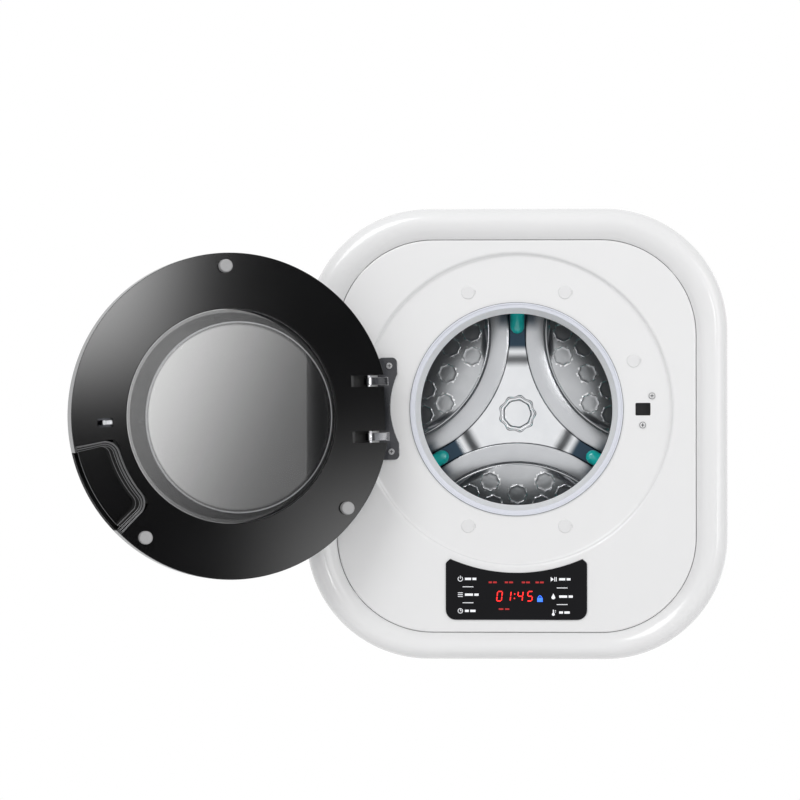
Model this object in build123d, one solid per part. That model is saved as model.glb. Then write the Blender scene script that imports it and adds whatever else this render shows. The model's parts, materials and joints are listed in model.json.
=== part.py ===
from build123d import *
import os
from math import cos, pi, radians, sin, sqrt

# Wall-mounted washing machine with a round door, which stands open at rest.
# Millimetres. +Z is up, +X is right seen from the front and -Y is towards the user.
# The wall is the plane y = 0, and a depth is a distance from it, so y = -depth.

# Cabinet outline
cabinet_width = 550.0
cabinet_height = 588.0
cabinet_corner = 160.0
shell_wall = 2.5
seam_groove = 1.2
frame_wall = 3.0
rim_width = 41.0
rim_bottom_width = 35.0
rim_inner_corner = 125.0
rim_rise = 12.0
rim_profile = ((0.0, 0.42), (0.004, 0.52), (0.05, 0.76), (0.2, 0.93), (0.44, 1.0), (0.7, 0.94), (0.9, 0.82),
               (1.0, 0.72))
frame_depth = 38.0

# Clearances
seat_gap = 0.3
panel_gap = 1.2
bearing_play = 0.1
pin_play = 0.06

# Screws
screw_shank = 2.0
screw_head = 4.7
lock_screw_head = 4.2
screw_length = 12.0

# Depths along the drum axis, from the wall to the front
wall_gap = 12.0
rear_sheet = 1.5
rear_flange = 14.0
pulley_gap = 4.5
belt_width = 10.0
hub_gap = 3.0
bearing_width = 15.0
bearing_web = 2.0
seal_width = 8.0
spider_gap = 2.0
spider_depth = 15.0
drum_sheet = 1.5
drum_depth = 142.0
tub_end_gap = 6.0
tub_wall = 3.0
neck_space = 31.0

# Drum, tub and porthole
door_z = 32.0
drum_drop = 5.0
drum_radius = 195.0
drum_mouth = 140.0
drum_lip = 3.0
drum_hole = 2.5
tub_gap = 12.0
tub_flange = 12.0
flange_depth = 6.0
tub_collar = 143.0
collar_length = 14.0
tub_split = 104.0
shaft_radius = 12.5
bearing_radius = 26.0
race_wall = 3.0
ball_count = 9
hub_wall = 8.0
spider_arm = 26.0
spider_hub = 30.0
pulley_radius = 120.0
pulley_rim = 6.0
pulley_web = 4.0
belt_wall = 3.0
motor_pulley_radius = 11.0
bolt_radius = 4.0
bolt_length = 20.0
mount_angles = (30, 150, 210, 330)
mount_radius = 13.0
mount_lug = 8.0

# Pressed pattern of the drum's back
star_arc = 178.0
star_offset = 217.5
star_rise = 3.0
rib_width = 24.0
rib_rise = 6.0
bump_radius = 13.4
bump_rise = 3.0
bump_places = ((92, 37), (92, -37), (109, 0), (123.5, 33), (123.5, -33), (109, 64.5), (109, -64.5))
boss_radius = 25.0
boss_lobes = 9

# Lifters on the drum wall
lifter_angles = (90, 210, 330)
lifter_height = 42.0
lifter_base = 60.0
lifter_crest = 26.0
lifter_end_gap = 4.0
lifter_wall = 2.5
foot_reach = 108.0
foot_width = 19.0
foot_depth = 8.0

# Front panel
sheet = 3.0
seat_lap = 4.0
seat_depth = 6.0
porthole = 136.0
gasket_lip = 125.5
gasket_flange = 3.5
gasket_wall = 3.0
cap_radius = 8.7
cap_stem = 4.0
cap_wall = 1.2
cap_circle = 165.0
cap_angles = (22.5, 67.5, 112.5, -67.5, -112.5)
hook_x = 164.7
hook_slot_width = 19.6
hook_slot_height = 16.4

# Control panel
glass_half_width = 92.0
glass_margin = 16.6
glass_height = 76.4
glass_seat_gap = 9.0
glass_top_corner = 16.0
glass_bottom_corner = 13.0
glass_wall = 3.0
glass_proud = 1.6
glass_ledge = 5.0
housing_depth = 20.0
housing_wall = 2.0
board_wall = 1.6

# Door, measured with the door shut
door_radius = 208.0
door_gap = 4.0
door_angle = 161.0
hinge_inset = 18.0
hinge_setback = 30.0
hinge_lean = 1.5
edge_cover = 12.0
dome_rise = 9.0
dome_sag = 4.0
ring_wall = 2.5
ring_foot = 1.0
ring_curve = ((0.0, 18.0), (2.8, 7.5), (10.0, 2.0), (23.0, -2.5))
ring_inner_curve = ((2.5, 18.0), (4.8, 9.2), (11.2, 4.4), (23.6, 0.4))
window_radius = 152.0
window_wall = 3.0
bowl_base = 135.0
bowl_tip = 120.0
bowl_depth = 40.0
bowl_drop = 2.0
bowl_wall = 4.0
bowl_flange = 12.0
pad_radius = 8.5
pad_inset = 17.0
pad_angles = (90, 221, 309.5)
pad_recess = 1.0
pad_stem = 3.0

# Finger recess in the door's edge
grip_start = -41.0
grip_end = -10.0
grip_inner = 160.0
grip_depth = 26.0
grip_wall = 2.0
grip_corner = 12.0
grip_step = 3.0
grip_steps = 3
step_depth = 3.5

# Hinge
arm_spacing = 72.0
arm_height = 10.0
arm_wall = 7.0
slot_height = 15.0
slot_reach = 32.0
slot_back = 12.0
block_reach = 28.0
pin_radius = 3.0
knuckle_radius = 6.0
bracket_wall = 3.0
bracket_height = 134.0
bracket_start = 10.0
bracket_width = 26.0
bracket_corner = 7.0
bracket_waist = 10.0
ear_height = 22.0
bracket_screw_in = 25.6
bracket_screw_spacing = 112.0

# Door hook and its lock
hook_wall = 5.0
hook_reach = 24.0
hook_barb = 4.0
hook_slot_cover = 11.0
hook_pin_radius = 2.0
hook_eye = 5.0
hook_half = 3.5
lock_depth = 20.0
lock_wall = 2.4
lock_room = 2.0
lock_width = 38.0
lock_height = 66.0
lock_screw_top = (11.7, 17.3)
lock_screw_low = (-0.4, -20.7)
cheek_wall = 3.0
cheek_gap = 0.8
cheek_back = 7.0
cheek_front = 9.0
cheek_depth = 8.0

# Wall mount
wall_bolt_x = 380.0
wall_bolt_z = 400.0
wall_bolt_radius = 6.3
bush_radius = 18.0
bush_neck = 11.0
bush_inner = 6.0

# Services: motor, pump, valve
motor_x = -110.0
motor_z = -232.0
motor_radius = 42.0
motor_length = 96.0
motor_shaft_radius = 5.0
bracket_sheet = 3.0
bracket_border = 18.0
bracket_round = 20.0
bracket_spacers = ((-52, 12), (-30, -40), (30, -40))
pump_x = 100.0
pump_z = -240.0
pump_depth = 115.0
volute_radius = 30.0
volute_length = 30.0
impeller_radius = 20.0
impeller_vanes = 4
pump_motor_radius = 22.0
pump_motor_length = 36.0
drain_radius = 9.5
drain_length = 14.0
drain_hole = 18.0
valve_x = -110.0
valve_depth = 50.0
inlet_radius = 13.2
inlet_length = 18.0
valve_height = 36.0
valve_half = 20.0
inlet_hole = 22.0
service_recess = 8.0
hose_wall = 3.0
spout_radius = 14.0
nozzle_radius = 6.0
gland_x = 40.0
gland_radius = 4.0
gland_wall = 4.0

# Places worked out from the sizes above
drum_z = door_z - drum_drop
seat_radius = door_radius - seat_lap
pad_circle = door_radius - pad_inset
hinge_x = hinge_inset - door_radius
bracket_left = hinge_x + bracket_start
bracket_right = bracket_left + bracket_width
bracket_screw_x = hinge_x + bracket_screw_in
pulley_start = wall_gap + rear_sheet + pulley_gap
hub_start = pulley_start + belt_width + hub_gap
rear_bearing = hub_start
front_bearing = rear_bearing + bearing_width + bearing_web
seal_start = front_bearing + bearing_width
hub_end = seal_start + seal_width
spider_start = hub_end + spider_gap
drum_back_d = spider_start + spider_depth
drum_front_d = drum_back_d + drum_depth
tub_rear_d = hub_start + bearing_width - 2.0
tub_split_d = tub_rear_d + tub_split
tub_inner = drum_radius + tub_gap
tub_outer = tub_inner + tub_wall
tub_front_d = drum_front_d + tub_end_gap
collar_end = tub_front_d + collar_length
panel_d = tub_front_d + tub_wall + neck_space
seat_d = panel_d - seat_depth
seam_d = panel_d - frame_depth
crest_d = panel_d + rim_rise
cover_d = panel_d + door_gap
hinge_d = cover_d + hinge_setback
edge_d = hinge_d + edge_cover
half_height = cabinet_height / 2
seat_room = cabinet_width / 2 - rim_width - panel_gap - seat_radius
glass_bottom = rim_bottom_width + glass_margin - half_height
glass_top = glass_bottom + glass_height
glass_arc = seat_radius + glass_seat_gap
pane_edge_d = edge_d + dome_rise - dome_sag
mount_circle = tub_outer + mount_radius + 6
bracket_d = pulley_start + belt_width + hub_gap
fill_depth = tub_rear_d + 14
nozzle_top = drum_z + sqrt(tub_outer ** 2 - valve_x ** 2) + 13
spout_low = drum_z - sqrt(tub_outer ** 2 - pump_x ** 2) - 22
pump_neck_top = spout_low - 8
drain_end = -half_height + service_recess - 2
arc_per_degree = 2 * pi * door_radius / 360
hook_pivot_x = hook_x - 0.5
hook_pivot_d = cover_d + 11.0


def disc(radius, near, far, x=0.0, z=0.0):
    """A cylinder along the depth axis, between two depths."""
    body = Cylinder(radius, far - near, align=(Align.CENTER, Align.CENTER, Align.MIN))
    return Pos(x, -near, z) * Rot(90, 0, 0) * body


def ring(outer, inner, near, far, x=0.0, z=0.0):
    """A flat ring along the depth axis."""
    return disc(outer, near, far, x, z) - disc(inner, near - 1, far + 1, x, z)


def block(x_low, x_high, near, far, z_low, z_high):
    """A box between two X values, two depths and two heights."""
    centre = Pos((x_low + x_high) / 2, -(near + far) / 2, (z_low + z_high) / 2)
    return centre * Box(x_high - x_low, far - near, z_high - z_low)


def post(radius, x, depth, z_low, z_high):
    """An upright cylinder at one depth."""
    body = Cylinder(radius, z_high - z_low, align=(Align.CENTER, Align.CENTER, Align.MIN))
    return Pos(x, -depth, z_low) * body


def plate(sketch, near, far):
    """A sketch in X and Z, given thickness between two depths."""
    return extrude(Plane.XZ.offset(near) * sketch, amount=far - near)


def turned(points, z=0.0, x=0.0):
    """A solid turned about the depth axis from (radius, depth) points."""
    outline = [(radius, -depth) for radius, depth in points]
    face = make_face(Polyline(*outline, close=True))
    return Pos(x, 0, z) * revolve(face, Axis.Y)


def polar(radius, angle, z=0.0):
    """The X and Z of a point on a circle about the height z."""
    return radius * cos(radians(angle)), z + radius * sin(radians(angle))


def rounded(width, height, corner, z=0.0):
    """A rounded rectangle in X and Z."""
    return Pos(0, z) * RectangleRounded(width, height, corner)


def around(angle, piece, z):
    """A piece turned about the depth axis at the height z."""
    return Pos(0, 0, z) * Rot(0, -angle, 0) * Pos(0, 0, -z) * piece


# Cabinet

def rim_outline(share, trim=0.0):
    """The outline of the rim, from its outer edge at share 0 to its inner edge at share 1."""
    inner_width = cabinet_width - 2 * rim_width
    inner_height = cabinet_height - rim_width - rim_bottom_width
    width = cabinet_width + share * (inner_width - cabinet_width)
    height = cabinet_height + share * (inner_height - cabinet_height)
    corner = cabinet_corner + share * (rim_inner_corner - cabinet_corner)
    z = share * (rim_bottom_width - rim_width) / 2
    return rounded(width - 2 * trim, height - 2 * trim, corner - trim, z)


def seam_cut():
    """The thin groove that shows where the shell and the frame meet."""
    outer = rim_outline(0, -seam_groove)
    inner = rim_outline(0, seam_groove)
    return plate(outer - inner, seam_d - seam_groove / 2, seam_d + seam_groove / 2)


def shell():
    body = plate(rim_outline(0) - rim_outline(0, shell_wall), wall_gap, seam_d)
    body -= post(inlet_hole, valve_x, valve_depth, 0, cabinet_height)
    body -= post(drain_hole, pump_x, pump_depth, -cabinet_height, 0)
    body -= post(gland_radius + gland_wall, gland_x, valve_depth, -cabinet_height, 0)
    return body - seam_cut()


def rim_solid(trim):
    """The dished block whose raised edge is the soft roll of the rim."""
    lift = rim_rise + frame_depth
    sections = []
    for share, height in rim_profile:
        depth = seam_d + lift * height - trim
        sections.append(Plane.XZ.offset(depth) * rim_outline(share, trim if share < 0.5 else -trim))
    base = plate(rim_outline(0, trim), seam_d - trim, seam_d + lift * rim_profile[0][1] - trim)
    return base + loft(sections)


def front_frame():
    opening = plate(rim_outline(1), seam_d - 10, crest_d + 10)
    hollow = rim_solid(frame_wall) - plate(rim_outline(1, -frame_wall), seam_d - 10, crest_d + 10)
    return rim_solid(0) - opening - hollow - seam_cut()


def front_panel():
    edge = plate(rim_outline(1, panel_gap), seat_d - sheet, panel_d)
    edge = fillet(edge.faces().sort_by(Axis.Y)[0].outer_wire().edges(), min(sheet - 0.4, seat_room / 3))
    inside = plate(rim_outline(1, panel_gap + sheet), seat_d - sheet - 1, panel_d - sheet)
    inside -= disc(seat_radius + sheet, seat_d - sheet - 2, panel_d, 0, door_z)
    seat = disc(seat_radius, seat_d, panel_d + 1, 0, door_z)
    body = edge - inside - seat
    rim = body.edges().filter_by(GeomType.CIRCLE)
    rim = [e for e in rim if abs(e.radius - seat_radius) < 0.01 and abs(e.center().Y + panel_d) < 0.01]
    body = fillet(rim, min(sheet - 0.6, seat_room / 3))
    body -= disc(porthole, seat_d - sheet - 2, panel_d, 0, door_z)
    body -= hook_slot(seat_d - 10, panel_d, hook_slot_height)
    for x, z in lock_screw_places():
        body -= disc(screw_shank + seat_gap, seat_d - 10, panel_d, x, z)
    for x, z in hinge_screw_places():
        body -= disc(screw_shank + seat_gap, seat_d - 10, panel_d, x, z)
    for x, z in cap_places():
        body -= disc(cap_stem + seat_gap / 2, seat_d - 10, panel_d, x, z)
    body -= plate(glass_outline(-glass_ledge), panel_d - 10, panel_d + 1)
    return body


def hook_slot(near, far, height):
    """Room for the hook, between two depths."""
    half = hook_slot_width / 2
    return block(hook_x - half, hook_x + half, near, far, door_z - height / 2, door_z + height / 2)


def cap_places():
    return [polar(cap_circle, angle, door_z) for angle in cap_angles]


def screw_caps():
    caps = []
    for x, z in cap_places():
        cap = disc(cap_radius, seat_d, seat_d + cap_wall, x, z)
        cap = chamfer(cap.faces().sort_by(Axis.Y)[0].edges(), cap_wall / 2)
        cap += disc(cap_stem, seat_d - sheet, seat_d, x, z)
        notch = block(cap_radius - 1.6, cap_radius + 1, seat_d - 1, seat_d + cap_wall + 1, -1.6, 1.6)
        caps.append(cap - Pos(x, 0, z) * notch)
    return Compound(caps)


def rear_panel():
    edge = shell_wall + seat_gap
    pan = plate(rim_outline(0, edge), wall_gap, wall_gap + rear_flange)
    pan -= plate(rim_outline(0, edge + rear_sheet), wall_gap + rear_sheet, wall_gap + rear_flange + 1)
    for x, z in wall_bolt_places():
        pan -= disc(bush_neck + seat_gap / 2, wall_gap - 1, wall_gap + rear_sheet + 1, x, z)
    return pan


def wall_bolt_places():
    return [(sx * wall_bolt_x / 2, sz * wall_bolt_z / 2) for sx in (-1, 1) for sz in (-1, 1)]


def wall_bushes():
    bushes = []
    neck_end = wall_gap + rear_sheet
    for x, z in wall_bolt_places():
        bush = disc(bush_radius, 0, wall_gap, x, z) + disc(bush_neck, wall_gap, neck_end, x, z)
        bush += disc(bush_radius - 2, neck_end, neck_end + bush_inner, x, z)
        bushes.append(bush - disc(wall_bolt_radius, -1, neck_end + bush_inner + 1, x, z))
    return Compound(bushes)


# Control panel

def glass_outline(grow):
    """The control glass: a rounded plate with a top edge that follows the door."""
    width = 2 * (glass_half_width + grow)
    height = glass_top - glass_bottom + 2 * grow
    middle = (glass_top + glass_bottom) / 2
    outline = Pos(0, middle) * Rectangle(width, height) - Pos(0, door_z) * Circle(glass_arc - grow)
    low = [v for v in outline.vertices() if v.Y < middle]
    outline = fillet(low, glass_bottom_corner + grow)
    high = [v for v in outline.vertices() if v.Y > middle and abs(v.X) > width / 2 - 0.01]
    high = [v for v in high if v.Y > middle + height / 4]
    outline = fillet(high, min(glass_top_corner + grow, height / 3) * 0.6)
    return outline


def control_glass():
    body = plate(glass_outline(0), panel_d, panel_d + glass_proud)
    body = chamfer(body.faces().sort_by(Axis.Y)[0].edges(), glass_proud / 4)
    return body + plate(glass_outline(-glass_ledge - seat_gap), panel_d + glass_proud - glass_wall, panel_d)


def control_housing():
    back = panel_d - sheet - housing_depth
    outer = glass_outline(-1)
    body = plate(outer, back, panel_d - sheet)
    body -= plate(glass_outline(-1 - housing_wall), back + housing_wall, panel_d)
    return body


def control_board():
    near = panel_d - sheet - housing_depth + housing_wall
    board = plate(glass_outline(-1 - housing_wall - seat_gap), near, near + board_wall)
    x_half = 34.0
    middle = (glass_top + glass_bottom) / 2 - 6
    top = panel_d + glass_proud - glass_wall - seat_gap
    display = block(-x_half, x_half, near + board_wall, top, middle - 14, middle + 14)
    return board + display


# Hinge on the cabinet

def lean(piece):
    """A piece that leans with the hinge line, about the pin's middle."""
    place = Pos(hinge_x, -hinge_d, door_z)
    return place * Rot(0, -hinge_lean, 0) * Pos(-hinge_x, hinge_d, -door_z) * piece


def hinge_screw_places():
    return [leaned_point(bracket_screw_x, door_z + side * bracket_screw_spacing / 2) for side in (-1, 1)]


def leaned_point(x, z):
    """Where a point of the upright hinge lies once the hinge leans."""
    run = x - hinge_x
    rise = z - door_z
    angle = radians(hinge_lean)
    return hinge_x + run * cos(angle) - rise * sin(angle), door_z + run * sin(angle) + rise * cos(angle)


def arm_heights():
    return [door_z + side * arm_spacing / 2 for side in (-1, 1)]


def hinge_bracket():
    half = bracket_height / 2
    foot_x = (bracket_right + bracket_left) / 2
    outline = Pos(foot_x, door_z) * RectangleRounded(bracket_width, bracket_height, bracket_corner)
    waist_half = half - ear_height
    waist_radius = (waist_half ** 2 + bracket_waist ** 2) / (2 * bracket_waist)
    outline -= Pos(bracket_right - bracket_waist + waist_radius, door_z) * Circle(waist_radius)
    body = plate(outline, seat_d, seat_d + bracket_wall)
    for z in arm_heights():
        run = hinge_x - foot_x
        rise = hinge_d - seat_d
        length = sqrt(run ** 2 + rise ** 2)
        side_x = rise / length * arm_wall / 2
        side_d = -run / length * arm_wall / 2
        corners = [
            (foot_x - side_x, -(seat_d + side_d)),
            (foot_x + side_x, -(seat_d - side_d)),
            (hinge_x + side_x, -(hinge_d - side_d)),
            (hinge_x - side_x, -(hinge_d + side_d)),
        ]
        face = make_face(Polyline(*corners, close=True))
        bar = extrude(Plane.XY.offset(z - arm_height / 2) * face, amount=arm_height)
        bar -= block(foot_x - length, foot_x + length, seat_d - length, seat_d, z - arm_height, z + arm_height)
        body += bar + post(knuckle_radius, hinge_x, hinge_d, z - arm_height / 2, z + arm_height / 2)
        body -= post(pin_radius + pin_play, hinge_x, hinge_d, z - arm_height, z + arm_height)
    for side in (-1, 1):
        z = door_z + side * bracket_screw_spacing / 2
        body -= disc(screw_shank + seat_gap, seat_d - 1, seat_d + bracket_wall + 1, bracket_screw_x, z)
    return lean(body)


def screw(x, z, seat, length, head=screw_head):
    """A pan-head screw whose head rests at the seat depth."""
    top = disc(head, seat, seat + 1.8, x, z)
    top = fillet(top.faces().sort_by(Axis.Y)[0].edges(), 1.2)
    top += disc(screw_shank, seat - length, seat, x, z)
    for cut in ((1.0, 4.6), (4.6, 1.0)):
        top -= block(x - cut[0] / 2, x + cut[0] / 2, seat + 0.8, seat + 3, z - cut[1] / 2, z + cut[1] / 2)
    return top


def hinge_screws():
    return Compound([screw(x, z, seat_d + bracket_wall, screw_length) for x, z in hinge_screw_places()])


# Hook lock behind the panel

def lock_screw_places():
    return [(hook_x + x, door_z + z) for x, z in (lock_screw_top, lock_screw_low)]


def lock_screws():
    return Compound([screw(x, z, seat_d, screw_length, lock_screw_head) for x, z in lock_screw_places()])


def door_lock():
    near = seat_d - sheet - lock_depth
    left = hook_x - hook_slot_width / 2 - lock_wall
    low = door_z - lock_height / 2
    body = block(left, left + lock_width, near, seat_d - sheet, low, low + lock_height)
    body -= hook_slot(near + 2, seat_d, hook_slot_height + 2 * lock_room)
    for x, z in lock_screw_places():
        body -= disc(screw_shank + seat_gap, near + 4, seat_d, x, z)
    return body


# Gasket between the tub and the panel

def gasket():
    lip_d = tub_front_d + 5
    back = seat_d - sheet
    out = tub_collar + sheet + seat_gap
    points = (
        (porthole + gasket_flange, seat_d), (porthole + gasket_flange, seat_d + 1.5), (porthole, seat_d + 2),
        (gasket_lip, lip_d), (gasket_lip, lip_d - 2), (gasket_lip + 2, lip_d - 3),
        (porthole + 1, back - 5), (out - 3, back - 5), (out, back - 8), (out, tub_front_d + 6),
        (out + gasket_wall, tub_front_d + 6), (out + gasket_wall, back - 6), (out, back - 2),
        (porthole + gasket_flange, back - 2), (porthole + gasket_flange, back), (porthole, back),
        (porthole, seat_d),
    )
    return turned(points, door_z)


def gasket_clamp():
    inner = tub_collar + sheet + seat_gap + gasket_wall
    return ring(inner + 1.5, inner, tub_front_d + 8, tub_front_d + 13, 0, door_z)


# Tub

def flange_screw_places():
    return [polar(tub_outer + tub_flange / 2, 22.5 + 45 * index, drum_z) for index in range(8)]


def tub_front():
    body = ring(tub_outer, tub_inner, tub_split_d, tub_front_d + tub_wall, 0, drum_z)
    body += disc(tub_inner, tub_front_d, tub_front_d + tub_wall, 0, drum_z)
    body += ring(tub_outer + tub_flange, tub_inner, tub_split_d, tub_split_d + flange_depth, 0, drum_z)
    body += disc(tub_collar + sheet, tub_front_d, collar_end, 0, door_z)
    body -= disc(tub_collar, tub_front_d - 1, collar_end + 1, 0, door_z)
    for x, z in flange_screw_places():
        body -= disc(screw_shank + seat_gap, tub_split_d - 1, tub_split_d + flange_depth + 1, x, z)
    return body


def tub_mount_places():
    return [polar(mount_circle, angle, drum_z) for angle in mount_angles]


def tub_rear():
    body = ring(tub_outer, tub_inner, tub_rear_d, tub_split_d, 0, drum_z)
    body += disc(tub_inner, tub_rear_d, tub_rear_d + tub_wall, 0, drum_z)
    body += ring(tub_outer + tub_flange, tub_inner, tub_split_d - flange_depth, tub_split_d, 0, drum_z)
    hub = bearing_radius + hub_wall
    body += disc(hub, hub_start, hub_end, 0, drum_z)
    for index in range(8):
        rib = block(hub - 2, tub_outer, tub_rear_d - 8, tub_rear_d, drum_z - 1.5, drum_z + 1.5)
        body += around(22.5 + 45 * index, rib, drum_z)
    body -= disc(bearing_radius, hub_start - 1, rear_bearing + bearing_width, 0, drum_z)
    body -= disc(bearing_radius, front_bearing, hub_end + 1, 0, drum_z)
    body -= disc(bearing_radius - race_wall - 2, hub_start - 1, hub_end + 1, 0, drum_z)
    lug_d = tub_rear_d + mount_lug
    lug = disc(mount_radius, tub_rear_d, lug_d, mount_circle, drum_z)
    lug += block(tub_inner + 1, mount_circle, tub_rear_d, lug_d, drum_z - mount_radius, drum_z + mount_radius)
    for angle in mount_angles:
        body += around(angle, lug, drum_z)
    for x, z in flange_screw_places():
        body -= disc(screw_shank, tub_split_d - flange_depth + 1, tub_split_d + 1, x, z)
    spout_top = drum_z - sqrt(tub_inner ** 2 - pump_x ** 2) + 8
    body += post(spout_radius, pump_x, pump_depth, spout_low, spout_top - 4)
    body -= post(spout_radius - 2, pump_x, pump_depth, spout_low - 1, spout_top + 4)
    nozzle_low = drum_z + sqrt(tub_inner ** 2 - valve_x ** 2) - 2
    body += post(nozzle_radius, valve_x, fill_depth, nozzle_low - 2, nozzle_top)
    body -= post(nozzle_radius - 1.5, valve_x, fill_depth, nozzle_low - 10, nozzle_top + 1)
    inside = disc(tub_inner, tub_rear_d + tub_wall, tub_split_d + 1, 0, drum_z)
    return body - (inside - disc(hub, hub_start, hub_end, 0, drum_z))


def tub_screws():
    seat = tub_split_d + flange_depth
    return Compound([screw(x, z, seat, flange_depth * 1.6) for x, z in flange_screw_places()])


def tub_mounts():
    mounts = []
    for x, z in tub_mount_places():
        mounts.append(disc(mount_radius, wall_gap + rear_sheet, tub_rear_d, x, z))
    return Compound(mounts)


# Bearings, seal and shaft

def bearing_starts():
    return (rear_bearing, front_bearing)


def bearing_outer_rings():
    return Compound([
        ring(bearing_radius, bearing_radius - race_wall, near, near + bearing_width, 0, drum_z)
        for near in bearing_starts()
    ])


def bearing_inner_rings():
    return Compound([
        ring(shaft_radius + race_wall, shaft_radius, near, near + bearing_width, 0, drum_z)
        for near in bearing_starts()
    ])


def bearing_balls():
    inner = shaft_radius + race_wall
    outer = bearing_radius - race_wall
    ball = (outer - inner) / 2 - bearing_play
    balls = []
    for near in bearing_starts():
        for index in range(ball_count):
            x, z = polar((inner + outer) / 2, 360 / ball_count * index, drum_z)
            balls.append(Pos(x, -(near + bearing_width / 2), z) * Sphere(ball))
    return Compound(balls)


def shaft_seal():
    return ring(bearing_radius, shaft_radius + seat_gap, seal_start, hub_end, 0, drum_z)


def drum_shaft():
    body = disc(shaft_radius, pulley_start, drum_back_d, 0, drum_z)
    return body - disc(bolt_radius, pulley_start - 1, pulley_start + bolt_length, 0, drum_z)


def pulley_bolt():
    head_start = pulley_start - 3.2
    head = Plane.XZ.offset(head_start) * Pos(0, drum_z) * RegularPolygon(8.5, 6)
    body = extrude(head, amount=pulley_start - head_start)
    return body + disc(bolt_radius, pulley_start, pulley_start + bolt_length - 1, 0, drum_z)


def drum_pulley():
    end = pulley_start + belt_width
    middle = pulley_start + belt_width / 2
    body = ring(pulley_radius, pulley_radius - pulley_rim, pulley_start, end, 0, drum_z)
    web = disc(pulley_radius - pulley_rim / 2, middle - pulley_web / 2, middle + pulley_web / 2, 0, drum_z)
    for index in range(6):
        x, z = polar(pulley_radius * 0.6, 60 * index, drum_z)
        web -= disc(pulley_radius * 0.2, pulley_start, end, x, z)
    body += web + disc(shaft_radius + 10, pulley_start, end, 0, drum_z)
    return body - disc(shaft_radius, pulley_start - 1, end + 1, 0, drum_z)


def belt_loop(grow):
    large = Pos(0, drum_z) * Circle(pulley_radius + grow)
    small = Pos(motor_x, motor_z) * Circle(motor_pulley_radius + grow)
    return make_hull(large.edges() + small.edges())


def drive_belt():
    loop = belt_loop(seat_gap + belt_wall) - belt_loop(seat_gap)
    return plate(loop, pulley_start + 1, pulley_start + belt_width - 1)


# Drum

def drum_shell():
    inner = drum_radius - drum_sheet
    body = ring(drum_radius, inner, drum_back_d - 8, drum_front_d, 0, drum_z)
    body += ring(inner, drum_mouth, drum_front_d - drum_sheet, drum_front_d, 0, drum_z)
    lip_start = drum_front_d - drum_lip * 1.5
    body += ring(drum_mouth + drum_sheet, drum_mouth, lip_start, drum_front_d, 0, drum_z)
    holes = []
    for lifter in lifter_angles:
        for step in (-3, -2, -1, 1, 2, 3):
            angle = lifter + 60 + step * 11
            for row in range(4):
                depth = drum_back_d + drum_depth * (0.2 + 0.2 * row)
                tool = Pos(drum_radius, -depth, drum_z) * Rot(0, 90, 0) * Cylinder(drum_hole, 12)
                holes.append(around(angle, tool, drum_z))
    return body - holes


def star_centres():
    return [polar(star_offset, angle - 60, 0) for angle in lifter_angles]


def drum_back():
    """The pressed back plate: a raised star, three rib bands, bumps and a scalloped boss."""
    edge = drum_radius - drum_sheet
    body = disc(edge, drum_back_d, drum_back_d + drum_sheet, 0, drum_z)
    face = drum_back_d + drum_sheet
    limit = Circle(edge - 6)
    star = limit
    ribs = []
    for x, z in star_centres():
        star = star - Pos(x, z) * Circle(star_arc)
        band = Pos(x, z) * (Circle(star_arc) - Circle(star_arc - rib_width))
        ribs.append(band & limit)
    centre = Pos(0, drum_z)
    body += plate(centre * star, face, face + star_rise)
    for band in ribs:
        body += plate(centre * band, face, face + rib_rise)
    for x, z in star_centres():
        hollow = Circle(star_arc - drum_sheet) - Circle(star_arc - rib_width + drum_sheet)
        hollow = (Pos(x, z) * hollow) & Circle(edge - 6 - drum_sheet)
        body -= plate(centre * hollow, drum_back_d - 1, face + rib_rise - drum_sheet)
    for angle in lifter_angles:
        for along, across in bump_places:
            axis = radians(angle - 60)
            x = along * cos(axis) - across * sin(axis)
            z = along * sin(axis) + across * cos(axis)
            body += disc(bump_radius, face, face + bump_rise, x, drum_z + z)
    boss = Circle(boss_radius * 0.88)
    for index in range(boss_lobes):
        x, z = polar(boss_radius * 0.8, 360 / boss_lobes * index)
        boss += Pos(x, z) * Circle(boss_radius * 0.2)
    return body + plate(centre * boss, face + star_rise, face + star_rise * 2)


def lifter(angle):
    """A hollow paddle on the drum wall with a foot along the back plate."""
    inner = drum_radius - drum_sheet
    crest = inner - lifter_height
    seat = sqrt(inner ** 2 - (lifter_base / 2) ** 2) - seat_gap
    near = drum_back_d + drum_sheet + rib_rise + seat_gap
    far = drum_front_d - drum_sheet - lifter_end_gap
    outline = [(seat, -lifter_base / 2), (seat, lifter_base / 2), (crest, lifter_crest / 2),
               (crest, -lifter_crest / 2)]
    sketch = make_face(Polyline(*outline, close=True))
    sketch = fillet([v for v in sketch.vertices() if v.X < crest + 1], lifter_crest / 3)
    body = extrude(Plane.XZ.offset(near) * Pos(0, drum_z) * sketch, amount=far - near)
    body = fillet(body.faces().sort_by(Axis.Y)[0].edges().sort_by(Axis.X)[0:1], lifter_crest / 3)
    foot = RectangleRounded(crest - foot_reach + 12, foot_width, foot_width / 2 - 0.5)
    body += plate(Pos((foot_reach + crest) / 2 + 6, drum_z) * foot, near, near + foot_depth)
    hollow = Pos(0, drum_z) * offset(sketch, -lifter_wall)
    body -= plate(hollow, near + lifter_wall, far - lifter_wall)
    return around(angle, body, drum_z)


def drum_spider():
    edge = drum_radius - drum_sheet
    body = disc(spider_hub, spider_start, drum_back_d, 0, drum_z)
    near = drum_back_d - spider_depth * 0.7
    half = spider_arm / 2
    for angle in lifter_angles:
        arm = block(spider_hub / 2, edge - 1, near, drum_back_d, drum_z - half, drum_z + half)
        body += around(angle, arm, drum_z)
    return body - disc(shaft_radius, spider_start - 1, drum_back_d + 1, 0, drum_z)


# Motor

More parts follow.
